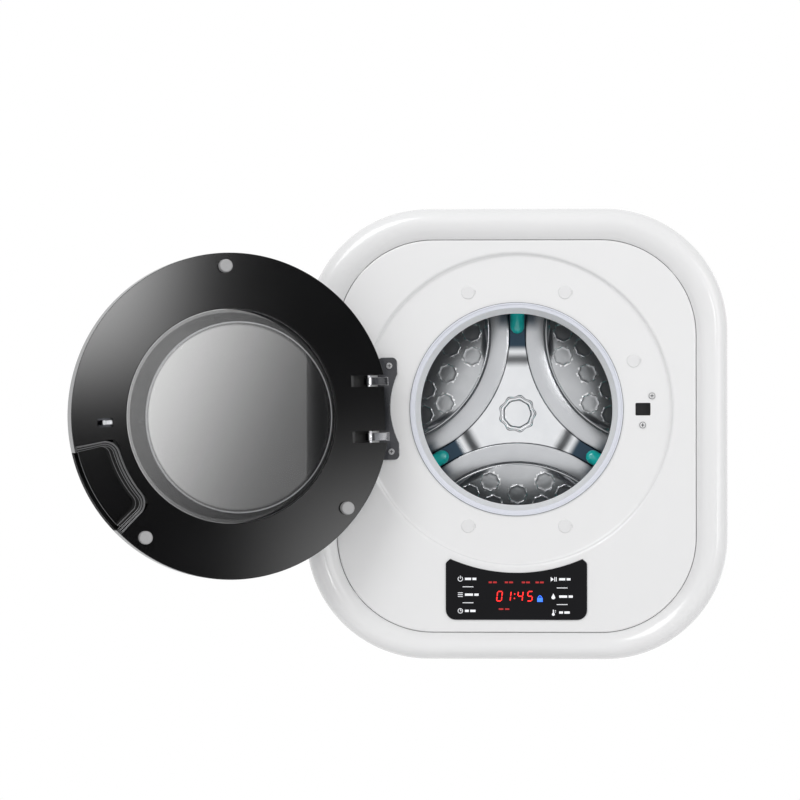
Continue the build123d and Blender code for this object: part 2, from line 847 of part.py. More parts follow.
def motor_housing():
    near = bracket_d + bracket_sheet
    body = disc(motor_radius, near, near + motor_length, motor_x, motor_z)
    body = fillet(body.edges(), 5)
    for index in range(10):
        angle = 36 * index
        rib = block(motor_radius - 2, motor_radius + 2, near + 14, near + motor_length - 14, -1.5, 1.5)
        body += Pos(motor_x, 0, motor_z) * Rot(0, -angle, 0) * rib
    return body - disc(motor_shaft_radius + pin_play, near - 1, near + motor_length / 3 + 1, motor_x, motor_z)


def motor_bracket():
    outline = Pos(motor_x, motor_z - 6) * RectangleRounded(
        2 * (motor_radius + bracket_border), 2 * motor_radius + 6, bracket_round)
    body = plate(outline, bracket_d, bracket_d + bracket_sheet)
    for x, z in bracket_spacers:
        body += disc(6, wall_gap + rear_sheet, bracket_d, motor_x + x, motor_z + z)
    return body - disc(motor_shaft_radius + 4, bracket_d - 1, bracket_d + bracket_sheet + 1, motor_x, motor_z)


def motor_shaft():
    end = bracket_d + bracket_sheet + motor_length / 3
    return disc(motor_shaft_radius, pulley_start - 2, end, motor_x, motor_z)


def motor_pulley():
    end = pulley_start + belt_width
    body = ring(motor_pulley_radius, motor_shaft_radius, pulley_start, end, motor_x, motor_z)
    return body + ring(motor_shaft_radius + 3, motor_shaft_radius, end, end + hub_gap / 2, motor_x, motor_z)


# Pump

def pump_housing():
    near = pump_depth - volute_length / 2
    far = pump_depth + volute_length / 2
    body = disc(volute_radius, near, far, pump_x, pump_z)
    body += disc(pump_motor_radius, far, far + pump_motor_length, pump_x, pump_z)
    body += post(spout_radius, pump_x, pump_depth, pump_z, pump_neck_top)
    body += post(drain_radius, pump_x, pump_depth, drain_end, pump_z)
    body += post(drain_radius + 3, pump_x, pump_depth, drain_end + drain_length, pump_z)
    cavity = disc(impeller_radius + 4, near + 4, far - 4, pump_x, pump_z)
    cavity += post(spout_radius - 2, pump_x, pump_depth, pump_z, pump_neck_top + 1)
    cavity += post(drain_radius - 2, pump_x, pump_depth, drain_end - 1, pump_z)
    cavity += disc(pin_radius + pin_play, far - 5, far + pump_motor_length / 2, pump_x, pump_z)
    foot = block(pump_x - 14, pump_x + 14, wall_gap + rear_sheet, near, pump_z - 18, pump_z - 8)
    return body + foot - cavity


def pump_impeller():
    near = pump_depth - volute_length / 2 + 5
    far = pump_depth + volute_length / 2 - 5
    body = disc(6, near, far, 0, 0) + disc(impeller_radius, far - 2, far, 0, 0)
    for index in range(impeller_vanes):
        vane = block(4, impeller_radius, near, far, -1, 1)
        body += Rot(0, 360 / impeller_vanes * index, 0) * vane
    body += disc(pin_radius, far, far + 5 + pump_motor_length / 3, 0, 0)
    return Pos(pump_x, 0, pump_z) * body


def sump_hose():
    low = pump_neck_top - 12
    high = spout_low + 12
    body = post(spout_radius + seat_gap + hose_wall, pump_x, pump_depth, low, high)
    return body - post(spout_radius + seat_gap, pump_x, pump_depth, low - 1, high + 1)


# Water inlet

def inlet_valve():
    top = half_height - service_recess
    low = top - inlet_length
    base = low - valve_height
    body = block(valve_x - valve_half, valve_x + valve_half, valve_depth - valve_half, valve_depth + valve_half,
                 base, low)
    body = fillet(body.edges().filter_by(Axis.Z), 4)
    body += block(valve_x - 12, valve_x + 12, wall_gap + rear_sheet, valve_depth - 10, base + 6, base + 18)
    body += post(inlet_radius, valve_x, valve_depth, low, top)
    body -= post(inlet_radius - 4, valve_x, valve_depth, low + 2, top + 1)
    return body + post(nozzle_radius, valve_x, fill_depth, base - 10, base + 1)


def fill_hose():
    base = half_height - service_recess - inlet_length - valve_height
    body = post(nozzle_radius + seat_gap + 2, valve_x, fill_depth, nozzle_top - 7, base - 1)
    return body - post(nozzle_radius + seat_gap, valve_x, fill_depth, nozzle_top - 8, base)


def heater():
    """A bent rod heater in the sump of the tub."""
    depth = tub_front_d - 24
    radius = tub_inner - 7
    body = None
    for side in (-1, 1):
        x, z = polar(radius, 270 + side * 3, drum_z)
        end_z = z
        rod = disc(3.2, depth - 28, depth + 23, x, z)
        body = rod if body is None else body + rod
    x_low, z_low = polar(radius, 267, drum_z)
    x_high, z_high = polar(radius, 273, drum_z)
    body += block(x_low, x_high, depth - 28, depth - 22, end_z - 3, end_z + 3)
    plug = block(x_low - 6, x_high + 6, depth + 22, tub_front_d, end_z - 5, end_z + 5)
    return body + plug


def cord_gland():
    low = -half_height + 0.5
    top = -half_height + shell_wall + 12
    body = post(gland_radius + gland_wall, gland_x, valve_depth, low, top)
    body += post(gland_radius + gland_wall + 3, gland_x, valve_depth, -half_height + shell_wall, top - 8)
    return body - post(gland_radius, gland_x, valve_depth, low - 1, top + 1)


# Door, drawn shut and then swung open

def swing(piece):
    """A door piece moved from its shut place to where it stands open at rest."""
    lean_axis = Pos(hinge_x, -hinge_d, door_z) * Rot(0, -hinge_lean, 0)
    return lean_axis * Rot(0, 0, -door_angle) * lean_axis.inverse() * piece


def slot_tools():
    """Room in the door for the two hinge arms as it swings."""
    left = -door_radius - 9
    near = cover_d - 5
    far = edge_d + dome_rise
    half = slot_height / 2
    tools = []
    for z in arm_heights():
        tools.append(block(left, hinge_x + slot_reach, near, hinge_d + 7, z - half, z + half))
        tools.append(block(left, hinge_x - 2, near, far, z - half, z + half))
    middle = arm_spacing / 2 - half + 1
    tools.append(block(left, hinge_x - slot_back, near, far, door_z - middle, door_z + middle))
    return [lean(tool) for tool in tools]


def sector(inner, outer, start, end, corner):
    """A piece of a ring between two angles about the door's centre."""
    steps = (start, (start + end) / 2, end)
    far = [polar(outer, angle) for angle in steps]
    near = [polar(inner, angle) for angle in steps]
    edges = [
        ThreePointArc(*far),
        Line(far[2], near[2]),
        ThreePointArc(near[2], near[1], near[0]),
        Line(near[0], far[0]),
    ]
    face = make_face(edges)
    inside = [v for v in face.vertices() if sqrt(v.X ** 2 + v.Y ** 2) < inner + 1]
    return Pos(0, door_z) * fillet(inside, corner)


def grip_tool(grow):
    return plate(grip_sector(grow, door_radius + 12), cover_d - 2, cover_d + grip_depth)


def ring_points(curve):
    """Points given as inward from the door's edge and back from the depth edge_d."""
    return [(door_radius - inward, back - edge_d) for inward, back in curve]


def door_ring():
    """The outer ring: side wall, rounded shoulder and the seat of the outer window."""
    outer = ring_points(ring_curve)
    inner = ring_points(ring_inner_curve)
    seat = (window_radius, -pane_edge_d)
    seat_back = (window_radius, dome_sag - pane_edge_d)
    foot = (door_radius, -(cover_d + ring_foot))
    foot_inner = (door_radius - ring_wall, -(cover_d + ring_foot))
    profile = make_face([
        Line(seat_back, seat),
        ThreePointArc(seat, outer[3], outer[2]),
        ThreePointArc(outer[2], outer[1], outer[0]),
        Line(outer[0], foot),
        Line(foot, foot_inner),
        Line(foot_inner, inner[0]),
        ThreePointArc(inner[0], inner[1], inner[2]),
        ThreePointArc(inner[2], inner[3], seat_back),
    ])
    body = Pos(0, 0, door_z) * revolve(profile, Axis.Y)
    for tool in slot_tools():
        body -= tool
    return body - grip_tool(0)


def door_cover():
    """The dark ring on the inner side, with a lip over the outer ring's foot and a rim wall."""
    rim = door_radius - ring_wall - seat_gap
    hole = bowl_base + 1.8
    back = cover_d + sheet
    wall_end = back + 6
    body = turned((
        (hole, cover_d), (door_radius, cover_d), (door_radius, cover_d + ring_foot), (rim, cover_d + ring_foot),
        (rim, wall_end), (rim - sheet, wall_end), (rim - sheet, back), (hole, back)), door_z)
    body -= hook_slot(cover_d - 1, back + 1, hook_slot_cover)
    for x, z in pad_places():
        body -= disc(pad_radius, cover_d - 1, cover_d + pad_recess, x, z)
        body -= disc(pad_stem + seat_gap / 2, cover_d - 1, cover_d + sheet + 1, x, z)
    for tool in slot_tools():
        body -= tool
    return body - grip_tool(grip_wall + 2 * grip_step)


def grip_sector(grow, outer):
    """The outline of the recess, made larger all round by grow."""
    spread = grow / arc_per_degree
    return sector(grip_inner - grow, outer, grip_start - spread, grip_end + spread, grip_corner + grow)


def door_grip():
    """The stepped finger recess in the edge of the door."""
    floor = grip_step / 2
    end = cover_d + grip_depth
    edge = door_radius - ring_wall - seat_gap
    body = None
    last = grip_steps - 1
    for index in range(grip_steps):
        grow = grip_wall + (last - index) * grip_step - seat_gap
        near = cover_d + index * step_depth
        far = end + grip_wall if index == last else near + step_depth
        step = plate(grip_sector(grow, edge), near, far)
        body = step if body is None else body + step
    for index in range(grip_steps):
        near = cover_d + index * step_depth - floor
        far = end if index == last else near + step_depth
        body -= plate(grip_sector((last - index) * grip_step, door_radius + 12), near, far)
    shallow = disc(edge, cover_d, cover_d + 2 * step_depth, 0, door_z)
    return body & (disc(door_radius - 8, cover_d, end + grip_wall, 0, door_z) + shallow)


def bowl_section(depth, grow):
    """The circle of the bowl's wall at a depth."""
    share = (cover_d - depth) / bowl_depth
    radius = bowl_base + share * (bowl_tip - bowl_base) + grow
    return Plane.XZ.offset(depth) * Pos(0, door_z - share * bowl_drop) * Circle(radius)


def door_bowl():
    tip = cover_d - bowl_depth
    outer = loft([bowl_section(tip, 0), bowl_section(cover_d + sheet, 0)], ruled=True)
    outer = fillet(outer.faces().sort_by(Axis.Y)[-1].edges(), 6)
    mouth = bowl_section(cover_d + sheet + 6, -bowl_wall)
    inner = loft([bowl_section(tip + bowl_wall, -bowl_wall), mouth], ruled=True)
    flange_d = cover_d + sheet
    flange = disc(bowl_base + bowl_flange, flange_d, flange_d + bowl_wall, 0, door_z)
    return outer + flange - inner


def door_window():
    """The slightly domed outer pane."""
    radius = window_radius - seat_gap
    crown = edge_d + dome_rise
    dome = (radius ** 2 + dome_sag ** 2) / (2 * dome_sag)
    centre = Pos(0, dome - crown, door_z)
    pane = disc(radius, pane_edge_d - 2 * window_wall, crown + 1, 0, door_z)
    return (pane & centre * Sphere(dome)) - centre * Sphere(dome - window_wall)


def window_carrier():
    """The hidden ring that joins the outer pane, the outer ring and the bowl."""
    top = pane_edge_d - window_wall
    foot = cover_d + sheet + bowl_wall
    lip = window_radius - 14
    inner = window_radius + 1
    outer = window_radius + 4
    return turned((
        (lip, top - seat_gap), (outer, top - 2.5), (outer, foot), (inner - 13, foot), (inner - 13, foot + 3),
        (inner, foot + 3), (inner, top - 5.3), (lip, top - 3.3)), door_z)


def hinge_block():
    """The metal block inside the door that holds the pins."""
    reach = arm_spacing / 2 - slot_height / 2
    width = arm_height
    near = cover_d + sheet + seat_gap
    far = hinge_d + pin_radius + 2.5
    left = hinge_x - pin_radius - 0.5
    right = hinge_x + block_reach
    outer = reach + slot_height
    z_ends = ((door_z - reach, door_z + reach), (door_z + outer, door_z + outer + width),
              (door_z - outer - width, door_z - outer))
    body = block(right, right + 4, near, far - 3, z_ends[2][0], z_ends[1][1])
    for low, high in z_ends:
        body += block(left, right, near + 8, far - 1.5, low, high)
    for low, high in z_ends:
        body -= post(pin_radius, hinge_x, hinge_d, low - 1, high + 1)
    return lean(body)


def hinge_pins():
    pins = []
    for z in arm_heights():
        half = slot_height / 2 + 9
        pins.append(post(pin_radius, hinge_x, hinge_d, z - half, z + half))
    return lean(Compound(pins))


def pad_places():
    return [polar(pad_circle, angle, door_z) for angle in pad_angles]


def door_pads():
    """Rubber pads that push into the cover and land on the door's seat."""
    pads = []
    reach = door_gap + seat_depth - seat_gap
    for x, z in pad_places():
        pad = disc(pad_radius - 0.1, cover_d - reach, cover_d + pad_recess, x, z)
        pad = fillet(pad.faces().sort_by(Axis.Y)[-1].edges(), 1.5)
        pad += disc(pad_stem, cover_d + pad_recess, cover_d + sheet + 3, x, z)
        pads.append(pad + disc(pad_stem + 1, cover_d + sheet, cover_d + sheet + 1.5, x, z))
    return Compound(pads)


def door_hook():
    """The latch hook: an eye, a shank and a barb."""
    half = hook_wall / 2
    tip = cover_d - hook_reach
    left = hook_pivot_x - hook_half
    right = hook_pivot_x + hook_half
    outline = [
        (left, -hook_pivot_d), (left, -tip), (right, -(tip + 1)), (right + hook_barb, -(tip + 7)),
        (right, -(tip + 8)), (right, -hook_pivot_d),
    ]
    face = make_face(Polyline(*outline, close=True))
    body = extrude(Plane.XY.offset(door_z - half) * face, amount=hook_wall)
    body += post(hook_eye, hook_pivot_x, hook_pivot_d, door_z - half, door_z + half)
    hole = hook_pin_radius + pin_play
    return body - post(hole, hook_pivot_x, hook_pivot_d, door_z - half - 1, door_z + half + 1)


def hook_bracket():
    """The small cage behind the cover that carries the hook's pin."""
    inner = hook_wall / 2 + cheek_gap
    outer = inner + cheek_wall
    left = hook_pivot_x - cheek_back
    right = hook_pivot_x + cheek_front
    far = hook_pivot_d + cheek_depth
    body = block(left, right, far, far + cheek_wall, door_z - outer, door_z + outer)
    for low in (door_z - outer, door_z + inner):
        body += block(left, right, cover_d + sheet, far, low, low + cheek_wall)
    return body - post(hook_pin_radius, hook_pivot_x, hook_pivot_d, door_z - 2 * outer, door_z + 2 * outer)


def hook_pin():
    half = hook_wall / 2 + cheek_gap + cheek_wall
    return post(hook_pin_radius, hook_pivot_x, hook_pivot_d, door_z - half, door_z + half)


fixed = {
    "shell": shell, "front_frame": front_frame, "front_panel": front_panel, "rear_panel": rear_panel,
    "wall_bushes": wall_bushes, "screw_caps": screw_caps, "control_glass": control_glass,
    "control_housing": control_housing, "control_board": control_board, "hinge_bracket": hinge_bracket,
    "hinge_screws": hinge_screws, "door_lock": door_lock, "lock_screws": lock_screws, "gasket": gasket,
    "gasket_clamp": gasket_clamp, "tub_front": tub_front, "tub_rear": tub_rear, "tub_screws": tub_screws,
    "tub_mounts": tub_mounts, "bearing_outer_rings": bearing_outer_rings, "bearing_balls": bearing_balls,
    "shaft_seal": shaft_seal, "heater": heater, "drive_belt": drive_belt, "motor_housing": motor_housing,
    "motor_bracket": motor_bracket, "pump_housing": pump_housing, "sump_hose": sump_hose,
    "inlet_valve": inlet_valve, "fill_hose": fill_hose, "cord_gland": cord_gland,
}
turning = {
    "drum_shell": drum_shell, "drum_back": drum_back, "drum_spider": drum_spider, "drum_shaft": drum_shaft,
    "bearing_inner_rings": bearing_inner_rings, "drum_pulley": drum_pulley, "pulley_bolt": pulley_bolt,
    "motor_shaft": motor_shaft, "motor_pulley": motor_pulley, "pump_impeller": pump_impeller,
}
door = {
    "door_ring": door_ring, "door_cover": door_cover, "door_grip": door_grip, "door_bowl": door_bowl,
    "door_window": door_window, "window_carrier": window_carrier, "hinge_block": hinge_block,
    "hinge_pins": hinge_pins, "door_pads": door_pads, "door_hook": door_hook, "hook_bracket": hook_bracket,
    "hook_pin": hook_pin,
}


def main():
    os.makedirs("parts", exist_ok=True)
    for name, make in {**fixed, **turning}.items():
        export_step(make(), f"parts/{name}.step")
    for index, angle in enumerate(lifter_angles, 1):
        export_step(lifter(angle), f"parts/lifter_{index}.step")
    for name, make in door.items():
        export_step(swing(make()), f"parts/{name}.step")


main()
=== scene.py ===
"""Looks for a wall-mounted washing machine whose round door stands open.

Sizes are in millimetres from the wall (depth), to the right and up. Blender works in metres.
"""

import json
import logging
import math
from dataclasses import dataclass
from enum import Enum
from typing import Callable, Iterable, Sequence

import bmesh
import bpy
from mathutils import Matrix, Vector

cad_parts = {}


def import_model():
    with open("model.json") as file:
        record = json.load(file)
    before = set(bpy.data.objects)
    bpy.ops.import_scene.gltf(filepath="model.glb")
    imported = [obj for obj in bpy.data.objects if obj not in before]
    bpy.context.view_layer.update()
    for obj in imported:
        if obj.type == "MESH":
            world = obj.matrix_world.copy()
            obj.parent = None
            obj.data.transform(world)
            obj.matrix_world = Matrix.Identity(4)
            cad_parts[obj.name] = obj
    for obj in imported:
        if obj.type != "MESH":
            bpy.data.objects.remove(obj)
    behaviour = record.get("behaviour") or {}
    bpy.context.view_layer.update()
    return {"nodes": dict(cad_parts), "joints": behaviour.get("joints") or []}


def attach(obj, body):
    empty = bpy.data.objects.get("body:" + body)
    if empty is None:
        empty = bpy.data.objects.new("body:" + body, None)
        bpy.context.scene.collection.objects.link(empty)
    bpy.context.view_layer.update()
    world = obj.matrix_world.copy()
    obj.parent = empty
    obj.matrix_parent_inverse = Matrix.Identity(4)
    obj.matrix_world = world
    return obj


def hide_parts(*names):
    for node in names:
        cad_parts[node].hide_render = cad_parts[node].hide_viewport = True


LOG = logging.getLogger("washer")
Pair = tuple[float, float]
Colour = tuple[float, float, float]


class Body(Enum):
    """The rigid bodies that a piece can ride on."""

    CABINET = "cabinet"
    DRUM = "drum"
    DOOR = "door"
    HOOK = "hook"


class Glow(Enum):
    """How a display element shines."""

    OFF = 0.0
    DIM = 0.5
    LIT = 1.6


def at(x: float, depth: float, z: float) -> Vector:
    """A point in metres from X, depth and height in millimetres."""
    return Vector((x, -depth, z)) * 0.001


def polar(radius: float, degrees: float, x: float = 0.0, z: float = 0.0) -> Pair:
    """X and Z of a point on a circle about (x, z)."""
    angle = math.radians(degrees)
    return x + radius * math.cos(angle), z + radius * math.sin(angle)


def circle(radius: float, x: float, z: float, steps: int = 24) -> list[Pair]:
    """A circle's points."""
    return [polar(radius, 360 * step / steps, x, z) for step in range(steps)]


def eased(corners: Sequence[tuple[float, float, float]], steps: int = 5, closed: bool = True) -> list[Pair]:
    """Round the corners of a profile.

    Args:
        corners: First and second coordinate and rounding radius of each corner.
        steps: Segments in each rounding.
        closed: Whether the last corner joins the first.

    Returns:
        The points of the rounded profile.
    """
    made: list[Pair] = []
    count = len(corners)
    for index, (first, second, radius) in enumerate(corners):
        if radius <= 0 or (not closed and index in (0, count - 1)):
            made.append((first, second))
            continue
        corner = Vector((first, second))
        back = Vector(corners[index - 1][:2]) - corner
        on = Vector(corners[(index + 1) % count][:2]) - corner
        half = back.angle(on) / 2
        reach = min(radius / math.tan(half), back.length * 0.49, on.length * 0.49)
        start = back.normalized() * reach
        end = on.normalized() * reach
        centre = (start + end).normalized() * (reach / math.cos(half))
        arm, far = start - centre, end - centre
        turn = arm.angle(far)
        for step in range(steps + 1):
            share = step / steps
            mix = arm * math.sin((1 - share) * turn) + far * math.sin(share * turn)
            spot = corner + centre + mix / math.sin(turn)
            made.append((spot.x, spot.y))
    return made


def box(x: float, z: float, half_x: float, half_z: float, corner: float, steps: int = 5) -> list[Pair]:
    """A rectangle about (x, z) with rounded corners."""
    return eased([(x + right * half_x, z + up * half_z, corner)
                  for right, up in ((1, 1), (-1, 1), (-1, -1), (1, -1))], steps)


def through(points: Sequence[Pair], steps: int = 6) -> list[Pair]:
    """Points of a smooth curve through the given ones.

    Args:
        points: The points that the curve passes.
        steps: Segments between two of them.

    Returns:
        The points of the curve.
    """
    knots = [points[0], *points, points[-1]]
    made: list[Pair] = []
    for index in range(1, len(knots) - 2):
        a, b, c, d = (Vector(knot) for knot in knots[index - 1:index + 3])
        for step in range(steps):
            t = step / steps
            spot = 0.5 * (2 * b + (c - a) * t + (2 * a - 5 * b + 4 * c - d) * t ** 2
                          + (3 * b - a - 3 * c + d) * t ** 3)
            made.append((spot.x, spot.y))
    made.append(tuple(points[-1]))
    return made


class Wire:
    """A node's output that takes part in Python expressions."""

    def __init__(self, graph: "Graph", socket: bpy.types.NodeSocket | None) -> None:
        """Keep the graph and the socket."""
        self.graph = graph
        self.socket = socket

    def maths(self, operation: str, other: "Wire | float", swapped: bool = False) -> "Wire":
        """Add a Math node.

        Args:
            operation: The node's operation.
            other: The second value.
            swapped: Whether the second value comes first.

        Returns:
            The node's result.
        """
        pair = (other, self) if swapped else (self, other)
        return self.graph.make("ShaderNodeMath", {"operation": operation}, {0: pair[0], 1: pair[1]})

    def __add__(self, other: "Wire | float") -> "Wire":
        """Sum."""
        return self.maths("ADD", other)

    __radd__ = __add__

    def __sub__(self, other: "Wire | float") -> "Wire":
        """Difference."""
        return self.maths("SUBTRACT", other)

    def __rsub__(self, other: float) -> "Wire":
        """Difference from a number."""
        return self.maths("SUBTRACT", other, True)

    def __mul__(self, other: "Wire | float") -> "Wire":
        """Product."""
        return self.maths("MULTIPLY", other)

    __rmul__ = __mul__

    def __truediv__(self, other: "Wire | float") -> "Wire":
        """Quotient."""
        return self.maths("DIVIDE", other)

    def __pow__(self, other: "Wire | float") -> "Wire":
        """Power."""
        return self.maths("POWER", other)


class Graph:
    """The nodes of a material or of the world, made one at a time."""

    def __init__(self, owner: bpy.types.Material | bpy.types.World) -> None:
        """Start with the owner's nodes cleared."""
        owner.use_nodes = True
        self.owner = owner
        self.tree = owner.node_tree
        self.tree.nodes.clear()

    def make(self, kind: str, settings: dict | None = None, inputs: dict | None = None, out: int | str = 0) -> Wire:
        """Add a node.

        Args:
            kind: The node's type.
            settings: Its properties, set first.
            inputs: Values or wires by socket.
            out: Which output to hand back.

        Returns:
            That output.
        """
        node = self.tree.nodes.new(kind)
        for key, value in (settings or {}).items():
            setattr(node, key, value)
        for key, value in (inputs or {}).items():
            if isinstance(value, Wire):
                self.tree.links.new(value.socket, node.inputs[key])
            else:
                node.inputs[key].default_value = value
        return Wire(self, node.outputs[out] if len(node.outputs) else None)

    def place(self, stretch: Colour = (1.0, 1.0, 1.0)) -> Wire:
        """The object's own coordinates in metres, stretched along its axes."""
        spot = self.make("ShaderNodeTexCoord", out="Object")
        if stretch == (1.0, 1.0, 1.0):
            return spot
        return self.make("ShaderNodeVectorMath", {"operation": "MULTIPLY"}, {0: spot, 1: stretch})

    def noise(self, scale: float, detail: float = 3.0, stretch: Colour = (1.0, 1.0, 1.0)) -> Wire:
        """A cloudy value from 0 to 1."""
        return self.make("ShaderNodeTexNoise", {}, {"Vector": self.place(stretch), "Scale": scale,
                                                    "Detail": detail, "Roughness": 0.55})

    def along(self, direction: Colour) -> Wire:
        """How far a point lies along a direction, in metres."""
        return self.make("ShaderNodeVectorMath", {"operation": "DOT_PRODUCT"}, {0: self.place(), 1: direction},
                         out="Value")

    def fade(self, value: Wire, full: float, none: float) -> Wire:
        """A soft mask that is 1 at full and 0 at none."""
        return self.make("ShaderNodeMapRange", {"interpolation_type": "SMOOTHSTEP"},
                         {"Value": value, 1: full, 2: none, 3: 1.0, 4: 0.0})

    def tones(self, low: Colour, high: Colour, share: Wire | float) -> Wire:
        """A blend of two colours."""
        return self.make("ShaderNodeMix", {"data_type": "RGBA"}, {"Factor": share, 6: (*low, 1.0), 7: (*high, 1.0)},
                         out=2)

    def relief(self, height: Wire, strength: float, distance: float) -> Wire:
        """A bumped normal from a height."""
        return self.make("ShaderNodeBump", {}, {"Height": height, "Strength": strength, "Distance": distance})

    def finish(self, inputs: dict) -> bpy.types.Material:
        """Close the graph with one principled shader and hand back the material."""
        shader = self.make("ShaderNodeBsdfPrincipled", {}, inputs)
        self.make("ShaderNodeOutputMaterial", {}, {"Surface": shader})
        return self.owner


@dataclass(frozen=True)
class Finish:
    """A surface: two tones that drift into each other, a roughness with its swing, and a fine relief."""

    name: str
    tone: Colour
    shade: Colour
    rough: float = 0.4
    swing: float = 0.08
    metal: float = 0.0
    coat: float = 0.0
    specular: float = 0.5
    patch: float = 14.0
    grain: float = 900.0
    bump: float = 0.1
    height: float = 0.0002
    stretch: Colour = (1.0, 1.0, 1.0)

    def build(self) -> bpy.types.Material:
        """Make the material once and hand it back each time."""
        known = bpy.data.materials.get(self.name)
        if known:
            return known
        graph = Graph(bpy.data.materials.new(self.name))
        drift = graph.noise(self.patch, 4.0, self.stretch)
        fine = graph.noise(self.grain, 2.0, self.stretch)
        inputs = {
            "Base Color": graph.tones(self.tone, self.shade, drift),
            "Roughness": (fine * 0.6 + drift * 0.4 - 0.5) * (2 * self.swing) + self.rough,
            "Normal": graph.relief(fine, self.bump, self.height),
            "Metallic": self.metal,
            "Coat Weight": self.coat,
            "Coat Roughness": 0.06,
            "Specular IOR Level": self.specular,
        }
        return self.dress(graph, inputs)

    def dress(self, graph: Graph, inputs: dict) -> bpy.types.Material:
        """Close the material; finishes with more to them change the inputs first."""
        return graph.finish(inputs)


@dataclass(frozen=True)
class Smoked(Finish):
    """A see-through finish that is denser towards its edges."""

    clear: float = 0.3
    dense: float = 0.8

    def dress(self, graph: Graph, inputs: dict) -> bpy.types.Material:
        """Let the surface through by its facing."""
        edge = graph.make("ShaderNodeLayerWeight", {}, {"Blend": 0.35}, out="Facing")
        inputs["Alpha"] = edge * (self.dense - self.clear) + self.clear
        return graph.finish(inputs)


@dataclass(frozen=True)
class Graded(Smoked):
    """Smoked glass that lets more through towards the upper left and less towards the lower right, as painted light
    across the door, whatever the angle.
    """

    middle: Colour = (-0.369, 0.0, 0.022)
    toward: Colour = (-0.92, 0.0, 0.39)
    reach: Pair = (0.15, -0.12)

    def dress(self, graph: Graph, inputs: dict) -> bpy.types.Material:
        """Let the surface through by its place: clearer towards the upper left, as painted light."""
        across = graph.along(self.toward) - Vector(self.middle).dot(Vector(self.toward))
        light = graph.fade(across, *self.reach)
        inputs["Alpha"] = light * (self.clear - self.dense) + self.dense
        return graph.finish(inputs)


@dataclass(frozen=True)
class Lamp(Finish):
    """A printed or lit element of the display."""

    glow: Glow = Glow.OFF

    def dress(self, graph: Graph, inputs: dict) -> bpy.types.Material:
        """Shine in the element's own colour."""
        inputs["Emission Color"] = inputs["Base Color"]
        inputs["Emission Strength"] = self.glow.value
        return graph.finish(inputs)


@dataclass(frozen=True)
class Pressed(Finish):
    """Polished sheet steel with painted shade where the arms fold, and a navy painted shade, standing for the paddles'
    shadow and reflection, where the paddles' feet stand.
    """

    axis_z: float = 27.0
    arms: tuple[float, ...] = (90.0, 210.0, 330.0)
    fold_painted_shade: Colour = (0.05, 0.052, 0.058)
    foot_painted_shade: Colour = (0.012, 0.035, 0.06)

    def dress(self, graph: Graph, inputs: dict) -> bpy.types.Material:
        """Paint shade on the sheet at the folds and a navy painted shade near the paddles."""
        near: Wire | None = None
        fold_shade: Wire | None = None
        for angle in self.arms:
            x, z = polar(1.0, angle)
            out = graph.along((x, 0.0, z)) - self.axis_z * 0.001 * z
            side = (graph.along((-z, 0.0, x)) - self.axis_z * 0.001 * x).maths("ABSOLUTE", 0.0)
            arm = graph.fade(out, 0.093, 0.083) * graph.fade(side, 0.0114, 0.0122)
            band = graph.fade(out, 0.128, 0.108) * graph.fade(side, 0.02, 0.034)
            mask = arm.maths("MAXIMUM", band * 0.85)
            near = mask if near is None else near.maths("MAXIMUM", mask)
            bend = (out - 0.073).maths("ABSOLUTE", 0.0)
            fold = graph.fade(bend, 0.001, 0.012) * graph.fade(side, 0.0125, 0.0165)
            fold_shade = fold if fold_shade is None else fold_shade.maths("MAXIMUM", fold)
        # Painted shade: the fold band and the ground beside the paddles' feet darken the base colour.
        for mask, tint in ((fold_shade * 0.72, self.fold_painted_shade), (near * 0.97, self.foot_painted_shade)):
            inputs["Base Color"] = graph.make("ShaderNodeMix", {"data_type": "RGBA"},
                                              {"Factor": mask, 6: inputs["Base Color"], 7: (*tint, 1.0)}, out=2)
        return graph.finish(inputs)


WHITE_SHELL = Finish("white_enamel", (0.86, 0.86, 0.865), (0.83, 0.83, 0.838), 0.3, 0.05, coat=0.4, bump=0.03)
WHITE_FRONT = Finish("white_gloss_front", (0.88, 0.88, 0.885), (0.86, 0.86, 0.866), 0.22, 0.04, coat=0.5, bump=0.02)
WHITE_CAP = Finish("white_caps", (0.84, 0.84, 0.845), (0.8, 0.8, 0.81), 0.3, 0.05, bump=0.05)
BLACK_GLOSS = Finish("black_gloss_cover", (0.003, 0.003, 0.0034), (0.0045, 0.0045, 0.005), 0.1, 0.03, patch=9.0,
                     bump=0.02)
# Grey glossy bevels for the finger grip's black edges: painted highlight.
BLACK_EDGE_HIGHLIGHT = Finish("black_edge_painted_highlight", (0.16, 0.16, 0.165), (0.1, 0.1, 0.105), 0.22, 0.05, coat=0.4, bump=0.05)
BLACK_INNER = Finish("black_moulding", (0.012, 0.012, 0.013), (0.02, 0.02, 0.021), 0.45, 0.1, grain=1600.0, bump=0.25)
BLACK_GLASS = Finish("black_panel_glass", (0.004, 0.004, 0.005), (0.007, 0.007, 0.009), 0.08, 0.03, specular=0.12,
                     patch=20.0, bump=0.005)
# Light metallic finish for the control glass's lower and right edges: painted highlight.
GLASS_EDGE_HIGHLIGHT = Finish("glass_edge_painted_highlight", (0.5, 0.5, 0.52), (0.34, 0.34, 0.36), 0.16, 0.05, metal=0.6, patch=40.0)
SILVER = Finish("silver_ring_coat", (0.2, 0.204, 0.21), (0.14, 0.143, 0.148), 0.32, 0.07, metal=0.85, coat=0.2,
                grain=1500.0, bump=0.1)
# The pressed finishes carry painted shade at the arms' folds and near the paddles' feet.
PRESSED_STEEL = Pressed("pressed_drum_steel", (0.83, 0.84, 0.855), (0.7, 0.715, 0.74), 0.2, 0.07, metal=1.0,
                        patch=30.0, grain=700.0, bump=0.06)
